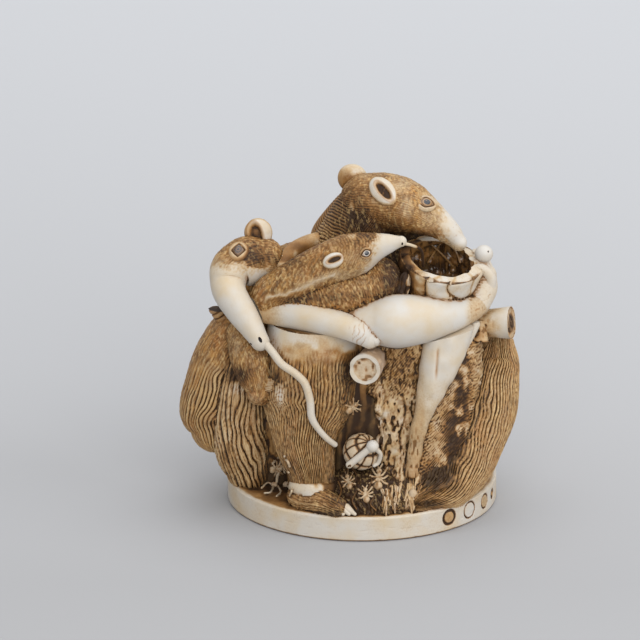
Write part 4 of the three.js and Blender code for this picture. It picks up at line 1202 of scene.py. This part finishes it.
def belowSeam(shift):
    cells, reach = seamLook["cells"], figurine["height"]
    line = np.linspace(-reach, reach, cells)
    x, y = np.meshgrid(line, line, indexing="ij")
    topPoints = np.stack([x, y, seamAt(x, y) + shift], axis=-1).reshape(-1, 3)
    floorPoints = np.stack([x, y, np.full_like(x, -reach)], axis=-1).reshape(-1, 3)
    index = np.arange(cells * cells).reshape(cells, cells)
    cellQuads = np.stack([index[:-1, :-1], index[1:, :-1], index[1:, 1:], index[:-1, 1:]], axis=-1).reshape(-1, 4)
    rim = np.concatenate([index[:-1, 0], index[-1, :-1], index[::-1][:-1, -1], index[0, ::-1][:-1]])
    nextRim = np.roll(rim, -1)
    under = cells * cells
    walls = np.stack([rim, rim + under, nextRim + under, nextRim], axis=-1)
    vertices = np.concatenate([topPoints, floorPoints])
    marks = {name: np.zeros(len(vertices), np.float32) for name in markNames}
    edge = smooth(20, 23, np.hypot(vertices[:, 0], vertices[:, 1])) * smooth(14, 8, vertices[:, 0])
    marks["stain"] = (seamLook["pale"] + seamLook["dark"] * edge).astype(np.float32)
    marks["tone"] = marks["stain"]
    return outward({"vertices": vertices, "quads": np.concatenate([cellQuads, (cellQuads + under)[:, ::-1], walls]),
                    "triangles": np.zeros((0, 3), int), "marks": marks, "group": 5})


def makeBase():
    body = join([*grouped(5, backForms()), *grouped(1, flankForms()), *grouped(4, leftBodyForms()),
                 *grouped(2, trunkForms()), *grouped(2, wedgeForms())])
    told("base body joined", len(body.data.polygons))
    combine(body, [belowSeam(-figurine["seamGap"] / 2)], "INTERSECT")
    combine(body, [*grouped(3, logForms()), *grouped(3, rightTailForms()), *grouped(4, leftHeadForms()),
                   *grouped(1, tongueForms())], "UNION")
    half = figurine["height"]
    combine(body, [uprightOval(4 * half, 4 * half, -half, plinth["height"] / 2, 0)], "DIFFERENCE")
    combine(body, [plinthForm(), *grouped(2, ballForms()), leftEye()], "UNION")
    ants = [form for spot, heading, size in antPlaces for form in antForms(facesOf(body), spot, heading, size)]
    combine(body, grouped(10, [*ants, *smallForms(body)]), "UNION")
    combine(body, [uprightOval(hollows["width"], hollows["depth"], hollows["floor"], figurine["height"],
                               hollows["forward"], group=5, tone=0.1, stain=0.1),
                   nostril([-29.6, 25.6, 50.2], [0.45, 0.9, 0.8], 0.5, group=4),
                   nostril([-31.8, 24.2, 48.6], [0.8, 0.4, 0.5], 0.2, group=4)], "DIFFERENCE")
    body.name = "base_casting"
    told("base made", len(body.data.polygons))
    return body


def leftEye():
    look = {"ballAcross": 0.6, "ballUp": 0.6, "corner": 1.2, "ballTone": 0.85, "ballStain": 0.72, "lidTone": 0.5,
            "iris": 0.3, "pupil": (0.0, 0.04), "pupilSize": 0.12}
    return eyeForm([-35.9, 10.7, 72.0], [3.0, 3.6, 1.0], 0.12, (-0.12, -0.5, 0.86), look, 4)


def lidEyes():
    mother = {"ballAcross": 0.76, "ballUp": 0.56, "corner": 1.4, "ballTone": 0.6, "ballStain": 0.3, "lidTone": 0.36,
              "pupil": (0.1, 0.02), "pupilSize": 0.34}
    young = {"ballAcross": 0.8, "ballUp": 0.6, "corner": 1.5, "ballTone": 0.0, "ballStain": 0.0, "lidTone": 0.6,
             "line": 0.16, "pupil": (0.06, 0.04), "pupilSize": 0.4}
    return [eyeForm([18.3, 8.4, 85.9], [3.0, 2.8, 1.1], -0.35, (0.12, -0.6, 0.79), mother, 7),
            eyeForm([1.03, 25.3, 76.7], [1.8, 1.7, 0.9], 0.35, (0.1, -0.98, 0.19), young, 6)]


def makeLid():
    forms = join([*lidBackForms(), *grouped(6, [*armForms(), *stumpForms(), *snoutTipForms()])])
    combine(forms, [bowlCutter()], "DIFFERENCE")
    meets = sightOf(forms)
    twigs = [sweep([[*meets(*spot, 0.4), 0.3] for spot in path],
                   lambda c: {"tone": 0.9, "stain": 0.55, "gloss": 0.8, "crest": 0.4}, gap=0.14, along=0.2, facing=0)
             for path in bowlTwigs]
    combine(forms, [*grouped(7, motherHeadForms()), *grouped(6, youngForms()), *lidEyes(), *grouped(6, twigs)],
            "UNION")
    told("lid forms joined", len(forms.data.polygons))
    room = figurine["seamGap"] + 0.1
    combine(forms, [belowSeam(figurine["seamGap"] / 2), *grouped(4, leftHeadForms(room, plain=True)),
                    *grouped(3, logForms(room, plain=True)),
                    nostril([36.7, 11.2, 72.2], [0.6, 0.55, 0.6], group=6),
                    nostril([11.4, 24.9, 79.5], [0.3, 0.5, 0.5], group=6)], "DIFFERENCE")
    plugWidth, plugDeep = (hollows[way] - 2 * hollows["plugClearance"] for way in ("width", "depth"))
    seamHeight = plinth["height"] + figurine["seamLevel"] * step
    plug = uprightOval(plugWidth, plugDeep, seamHeight - hollows["plugLength"], seamHeight + hollows["lidHollow"] / 2,
                       hollows["forward"], group=8, tone=0.1)
    inside = uprightOval(plugWidth - 2 * hollows["plugWall"], plugDeep - 2 * hollows["plugWall"], 0,
                         seamHeight + hollows["lidHollow"], hollows["forward"], group=8, tone=0.1)
    combine(forms, [plug], "UNION")
    combine(forms, [inside], "DIFFERENCE")
    forms.name = "lid_casting"
    told("lid made", len(forms.data.polygons))
    return forms


# Finishing a casting: what the joins left unmarked, the stain settled in its small hollows with painted shade in its
# creases, and painted patches of shade and highlight

# where the colour is painted darkest in the picture, painted shade in crevices and deep corners together with the
# maker's brown wash: column, row, how wide, how tall, how much
shadeAndWashPatches = [(362, 418, 15, 24, 1.0), (360, 462, 26, 22, 0.7), (364, 490, 30, 20, 1.0), (276, 478, 18, 18, 0.7),
              (394, 272, 11, 34, 1.0), (461, 385, 7, 44, 1.0), (452, 436, 9, 26, 1.0), (436, 476, 14, 14, 0.9),
              (347, 372, 6, 22, 0.6), (241, 375, 14, 10, 0.8), (277, 380, 7, 10, 0.5), (412, 244, 26, 7, 0.9),
              (400, 366, 12, 18, 0.25), (350, 216, 24, 30, 0.7), (428, 502, 16, 5, 0.6), (322, 513, 30, 3, 0.7),
              (472, 334, 10, 6, 0.6), (318, 474, 8, 8, 0.2), (300, 247, 14, 7, 0.5), (227, 440, 4, 30, 0.4),
              (252, 256, 20, 15, 0.7), (372, 428, 6, 6, 0.5), (384, 228, 24, 14, 0.4), (420, 236, 20, 6, 0.5),
              (345, 296, 44, 6, 0.4), (290, 262, 22, 9, 0.5), (300, 300, 36, 5, 0.4), (398, 282, 16, 26, 0.9)]
# and where it is painted lighter: highlight where the light falls, together with wear rubbed back to gold
highlightAndGoldPatches = [(205, 350, 14, 40, 0.5), (300, 272, 40, 14, 0.5), (505, 420, 14, 50, 0.5), (300, 352, 36, 12, 0.4),
              (410, 215, 20, 16, 0.4), (352, 285, 26, 14, 0.3), (234, 460, 20, 18, 0.45)]


def patchesOn(points, patches):
    column, row = seen(points)
    total = 0.0
    for across, down, wide, tall, amount in patches:
        total = total + amount * np.exp(-((column - across) / wide) ** 2 - ((row - down) / tall) ** 2)
    return total


sharpAngle = math.radians(55)
nookLook = {"cell": 0.45, "small": 1, "large": 4, "smallShare": 0.55, "largeShare": 0.5}


def blur(field, cells):
    for axis in range(3):
        for _ in range(2):
            total, last = np.cumsum(field, axis=axis), field.shape[axis] - 1
            ahead, behind = (np.take(total, np.clip(np.arange(last + 1) + shift, 0, last), axis=axis)
                             for shift in (cells, -cells - 1))
            field = (ahead - behind) / (2 * cells + 1)
    return field


def nooksOf(points, normals, weights, cells):
    cell = nookLook["cell"]
    low = points.min(axis=0) - cell * 14
    size = np.ceil((points.max(axis=0) + cell * 14 - low) / cell).astype(int)
    index = np.floor((points - low) / cell).astype(int)
    flat = np.ravel_multi_index(index.T, size)
    fields = [blur(np.bincount(flat, weights=w, minlength=size.prod()).reshape(size), cells)
              for w in (weights, *(points - low).T * weights)]
    mass = np.maximum(fields[0].ravel()[flat], 1e-9)
    middle = np.stack([field.ravel()[flat] / mass for field in fields[1:]], axis=-1) + low
    return np.sum(normals * (middle - points), axis=-1) / (cells * cell)


def settle(casting):
    mesh = casting.data
    count = len(mesh.vertices)
    points, normals = (readEach(mesh.vertices, key, 3).astype(float) for key in ("co", "normal"))
    corner = readEach(mesh.loops, "vertex_index", kind=np.int32)
    area, total = readEach(mesh.polygons, "area"), readEach(mesh.polygons, "loop_total", kind=np.int32)
    weights = np.bincount(corner, weights=np.repeat(area / total, total), minlength=count)
    edge = readEach(mesh.edges, "vertices", 2, np.int32)
    marks = {name: readEach(mesh.attributes[name].data, "value") for name in (*markNames, "real")}
    known = marks["real"] > 0.99

    def fromNext(values):
        ways = ((edge[:, 0], edge[:, 1]), (edge[:, 1], edge[:, 0]))
        return sum(np.bincount(here, weights=values[there], minlength=count) for here, there in ways)

    for _ in range(6):
        lost = ~known
        if not lost.any():
            break
        pull = fromNext(known)
        fill = lost & (pull > 0)
        for name in markNames:
            marks[name][fill] = (fromNext(marks[name] * known) / np.maximum(pull, 1))[fill]
        known = known | fill
    # how hollow each spot is, at two sizes: it darkens the colour as stain settled in small hollows and as painted
    # shade in the creases between forms
    small, large = (nooksOf(points, normals, weights, nookLook[size]) for size in ("small", "large"))
    nookStainShade = nookLook["smallShare"] * smooth(0.05, 0.6, small) + nookLook["largeShare"] * smooth(0.05, 0.55, large)
    towards = -normals[:, 1] + 0.3 * normals[:, 2]
    coated = smooth(0.33, 0.5, marks["tone"]) * (1 - marks["gloss"])
    # the dark patches paint shade and brown wash into the stain mark, and the light patches paint highlight and
    # rubbed-back gold, only on faces turned towards the front
    dark = held(1.35 * patchesOn(points, shadeAndWashPatches)) * coated * smooth(-0.35, 0.15, towards)
    highlightAndGold = held(patchesOn(points, highlightAndGoldPatches)) * coated * smooth(-0.1, 0.35, towards)
    marks["stain"] = held(marks["stain"] + dark * (0.78 + 0.3 * marks["stain"]))
    marks["crest"] = marks["crest"] * (1 - 0.7 * dark) * (0.75 + 0.5 * highlightAndGold)
    marks["tone"] = held(marks["tone"] + 0.5 * dark - 0.25 * highlightAndGold)
    marks["nookStainShade"], marks["wear"] = nookStainShade, smooth(0.02, 0.3, -small) * (1 - dark)
    for name, values in marks.items():
        writeMark(mesh, name, held(values))
    mesh.attributes.remove(mesh.attributes["real"])
    mesh.vertices.foreach_set("co", (points * millimetre).astype(np.float32).ravel())
    mesh.update()


def splitUp(casting, names):
    # one casting, handed over as a few pieces that meet along its creases
    mesh = casting.data
    group = readEach(mesh.attributes["group"].data, "value", kind=np.int32)
    group = np.where(np.isin(group, list(names)), group, list(names)[-1])
    total, start = (readEach(mesh.polygons, key, kind=np.int32) for key in ("loop_total", "loop_start"))
    corner = readEach(mesh.loops, "vertex_index", kind=np.int32)
    points = readEach(mesh.vertices, "co", 3)
    marks = {name: readEach(mesh.attributes[name].data, "value") for name in (*markNames, "nookStainShade", "wear")}
    pieces = []
    for number, name in names.items():
        chosen = np.flatnonzero(group == number)
        counts = total[chosen]
        offsets = np.concatenate([[0], np.cumsum(counts)[:-1]])
        take = np.repeat(start[chosen] - offsets, counts) + np.arange(counts.sum())
        used, renumbered = np.unique(corner[take], return_inverse=True)
        piece = meshWith(name, points[used], renumbered, offsets,
                         {key: values[used] for key, values in marks.items()})
        piece.polygons.foreach_set("use_smooth", np.ones(len(chosen), bool))
        piece.set_sharp_from_angle(angle=sharpAngle)
        pieces.append(placed(name, piece))
        print("piece", name, int((counts - 2).sum()), "triangles")
    bpy.data.objects.remove(casting)
    return pieces


# The aged cast resin: ivory where it is rubbed, brown in the fur, dark where the stain has settled and where shade is
# painted into the creases

# the two stain colours also carry the painted shade in the creases
resinLook = {"ivory": (0.53, 0.505, 0.465), "cream": (0.52, 0.40, 0.24), "furGold": (0.39, 0.20, 0.054),
             "furBrown": (0.19, 0.085, 0.023), "furRust": (0.32, 0.115, 0.024), "furDark": (0.07, 0.03, 0.011),
             "stainShadeTan": (0.34, 0.16, 0.045), "stainShadeDark": (0.026, 0.0125, 0.006), "crest": (0.66, 0.49, 0.26),
             "rubbed": (0.50, 0.33, 0.135), "pupil": (0.012, 0.014, 0.022), "roughness": 0.46, "stainRoughness": 0.62,
             "glossyRoughness": 0.16, "bump": 0.16, "bumpDepth": 0.0004}


def nodeIn(tree, kind, settings, inputs):
    # adds a node, makes its settings, and sets or links its inputs
    node = tree.nodes.new("ShaderNode" + kind)
    for key, value in settings.items():
        setattr(node, key, value)
    for key, value in inputs.items():
        if isinstance(value, bpy.types.NodeSocket):
            tree.links.new(value, node.inputs[key])
        else:
            node.inputs[key].default_value = value
    return node.outputs


def resinMaterial(name, seed):
    material = bpy.data.materials.new(name)
    material.use_nodes = True
    tree = material.node_tree
    shader = tree.nodes["Principled BSDF"]
    where = nodeIn(tree, "TexCoord", {}, {})["Object"]

    def pattern(scale, detail=3.0, length=1.0, tilt=0.0):
        # clouds of noise, drawn out into strokes that hang down with a little tilt
        mapped = nodeIn(tree, "Mapping", {"vector_type": "TEXTURE"}, {
            "Scale": (1, 1, length), "Rotation": (0, tilt, 0), "Vector": where,
            "Location": (seed * 0.13, seed * 0.07, 0)})
        return nodeIn(tree, "TexNoise", {}, {"Scale": scale, "Detail": detail, "Vector": mapped["Vector"]})["Fac"]

    def shaped(value, low, high, to=(0, 1)):
        return nodeIn(tree, "MapRange", {}, {"From Min": low, "From Max": high, "To Min": to[0], "To Max": to[1],
                                             "Value": value})["Result"]

    def sums(operation, first, second, clamp=False):
        return nodeIn(tree, "Math", {"operation": operation, "use_clamp": clamp}, {0: first, 1: second})[0]

    def times(first, second):
        return sums("MULTIPLY", first, second)

    def mixed(share, first, second):
        first, second = (resinLook[hue] + (1,) if isinstance(hue, str) else hue for hue in (first, second))
        return nodeIn(tree, "Mix", {"data_type": "RGBA"}, {"Factor": share, "A": first, "B": second})["Result"]

    tone, stain, nookStainShade, wear, crest, ink, gloss, fuzz = (
        nodeIn(tree, "Attribute", {"attribute_name": key}, {})["Fac"]
        for key in ("tone", "stain", "nookStainShade", "wear", "crest", "ink", "gloss", "fuzz"))
    cloudy, patchy, speckled = pattern(180, 3), pattern(420, 4), pattern(2600, 3)
    leftStrokes, rightStrokes = pattern(1900, 2, 3.4, 0.4), pattern(1700, 2, 3.4, -0.3)
    bare = mixed(shaped(cloudy, 0.4, 0.85), "ivory", "cream")
    bare = mixed(shaped(tone, 0.0, 0.4, (0.0, 0.95)), bare, "cream")
    brown = mixed(shaped(patchy, 0.35, 0.68), "furGold", "furBrown")
    brown = mixed(times(shaped(cloudy, 0.5, 0.7), 0.6), brown, "furRust")
    coat = mixed(shaped(sums("ADD", tone, shaped(speckled, 0.3, 0.7, (-0.12, 0.12))), 0.12, 0.85), bare, brown)
    coat = mixed(times(wear, times(tone, 0.3)), coat, "cream")
    coat = mixed(times(crest, shaped(cloudy, 0.3, 0.7, (0.95, 0.4))), coat, "crest")
    coat = mixed(times(shaped(rightStrokes, 0.53, 0.65), times(fuzz, 0.5)), coat, "crest")
    coat = mixed(times(shaped(leftStrokes, 0.45, 0.6), times(fuzz, 0.78)), coat, "furDark")
    # the stain mark and the nooks together: stain settled in the hollows, and painted shade in the creases
    stainWithShade = sums("ADD", stain, times(nookStainShade, 0.9), True)
    stainWithShade = sums("MULTIPLY", stainWithShade, shaped(patchy, 0.25, 0.6, (0.75, 1.05)), True)
    coat = mixed(shaped(stainWithShade, 0.05, 0.5, (0, 0.85)), coat, mixed(tone, "stainShadeTan", "furBrown"))
    coat = mixed(shaped(stainWithShade, 0.35, 0.9, (0, 0.96)), coat, "stainShadeDark")
    rubbed = times(shaped(rightStrokes, 0.53, 0.65), times(fuzz, 0.42))
    coat = mixed(sums("MAXIMUM", rubbed, times(crest, 0.3)), coat, "rubbed")
    rough = shaped(sums("ADD", stainWithShade, times(tone, 0.3)), 0, 1.2,
                   (resinLook["roughness"], resinLook["stainRoughness"]))
    rough = sums("ADD", rough, shaped(speckled, 0.3, 0.7, (-0.05, 0.05)))
    slick = nodeIn(tree, "Mix", {"data_type": "FLOAT"},
                   {"Factor": gloss, "A": rough, "B": resinLook["glossyRoughness"]})
    grain = sums("ADD", times(leftStrokes, times(fuzz, -2.0)), times(speckled, 0.35))
    relief = nodeIn(tree, "Bump", {}, {"Distance": resinLook["bumpDepth"], "Strength": resinLook["bump"],
                                       "Height": grain})
    for socket, value in (("Base Color", mixed(ink, coat, "pupil")), ("Roughness", slick["Result"]),
                          ("Normal", relief["Normal"]), ("Specular IOR Level", shaped(gloss, 0, 1, (0.24, 0.6)))):
        tree.links.new(value, shader.inputs[socket])
    return material


# The room: a pale floor, soft light and the camera

roomLook = {"floor": (0.355, 0.355, 0.362), "backdrop": (0.62, 0.63, 0.65), "world": (0.88, 0.89, 0.91),
            "worldStrength": 0.78, "distance": 2.4, "sensor": 36.0, "aimedAt": 0.03,
            "lights": [("window_light", (0.14, -0.85, 0.46), 5.9, 0.8, (1.0, 0.985, 0.965)),
                       ("fill_light", (0.6, -0.2, 0.4), 1.6, 0.5, (0.98, 0.99, 1.0)),
                       ("top_light", (0.05, 0.1, 0.8), 3.0, 0.7, (0.96, 0.98, 1.0))]}


def makeRoom():
    scene = bpy.context.scene
    size, distance = picture["millimetres"] * millimetre, roomLook["distance"]
    ahead = sightLine()
    above = Vector((0, -ahead.z, ahead.y))
    middle = picture["pixels"] / 2
    target = Vector(((middle - picture["column"]) * size, 0, 0)) + above * ((picture["row"] - middle) * size)
    lens = bpy.data.cameras.new("camera")
    lens.sensor_width = roomLook["sensor"]
    lens.lens = lens.sensor_width * distance / (picture["pixels"] * size)
    lens.clip_start, lens.clip_end = 0.01, 20
    scene.camera = placed("camera", lens)
    scene.camera.location = target - ahead * distance
    scene.camera.rotation_euler = ahead.to_track_quat("-Z", "Y").to_euler()
    for name, place, power, width, colour in roomLook["lights"]:
        data = bpy.data.lights.new(name, "AREA")
        data.energy, data.size, data.color = power, width, colour
        lamp = placed(name, data)
        lamp.location = place
        towards = Vector((0, 0, roomLook["aimedAt"])) - Vector(place)
        lamp.rotation_euler = towards.to_track_quat("-Z", "Y").to_euler()
    scene.world = bpy.data.worlds.new("studio")
    scene.world.use_nodes = True
    sky = scene.world.node_tree.nodes["Background"].inputs
    sky["Color"].default_value, sky["Strength"].default_value = (*roomLook["world"], 1), roomLook["worldStrength"]
    scene.view_settings.view_transform = "Standard"

    # a wide floor that pales towards the back: painted light, darker in front and brighter behind
    sheet = bpy.data.meshes.new("floor")
    sheet.from_pydata([(-3, -3, 0), (3, -3, 0), (3, 3, 0), (-3, 3, 0)], [], [(0, 1, 2, 3)])
    paint = bpy.data.materials.new("floor_paint")
    paint.use_nodes = True
    tree = paint.node_tree
    place = nodeIn(tree, "SeparateXYZ", {}, {"Vector": nodeIn(tree, "TexCoord", {}, {})["Object"]})
    ramp = nodeIn(tree, "MapRange", {}, {"From Min": -0.05, "From Max": 0.45, "Value": place["Y"]})
    blend = nodeIn(tree, "Mix", {"data_type": "RGBA"}, {"A": (*roomLook["floor"], 1), "B": (*roomLook["backdrop"], 1),
                                                        "Factor": ramp["Result"]})
    shader = tree.nodes["Principled BSDF"]
    tree.links.new(blend["Result"], shader.inputs["Base Color"])
    shader.inputs["Roughness"].default_value = 0.85
    sheet.materials.append(paint)
    placed("floor", sheet)


makeRoom()
print("room made")
baseMaterial, lidMaterial = resinMaterial("aged_resin_base", 1), resinMaterial("aged_resin_lid", 5)
for makeCasting, names, node, slot, material in (
        (makeBase, {n: groupNames[n] for n in (1, 2, 3, 4, 9, 10, 5)}, "base", "base_casting", baseMaterial),
        (makeLid, {n: groupNames[n] for n in (6, 7, 8)}, "lid", "lid_casting", lidMaterial)):
    casting = makeCasting()
    settle(casting)
    for piece in splitUp(casting, names):
        piece.data.materials.append(material)
        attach(piece, "root")
        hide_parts(node)
    told("finished", node)
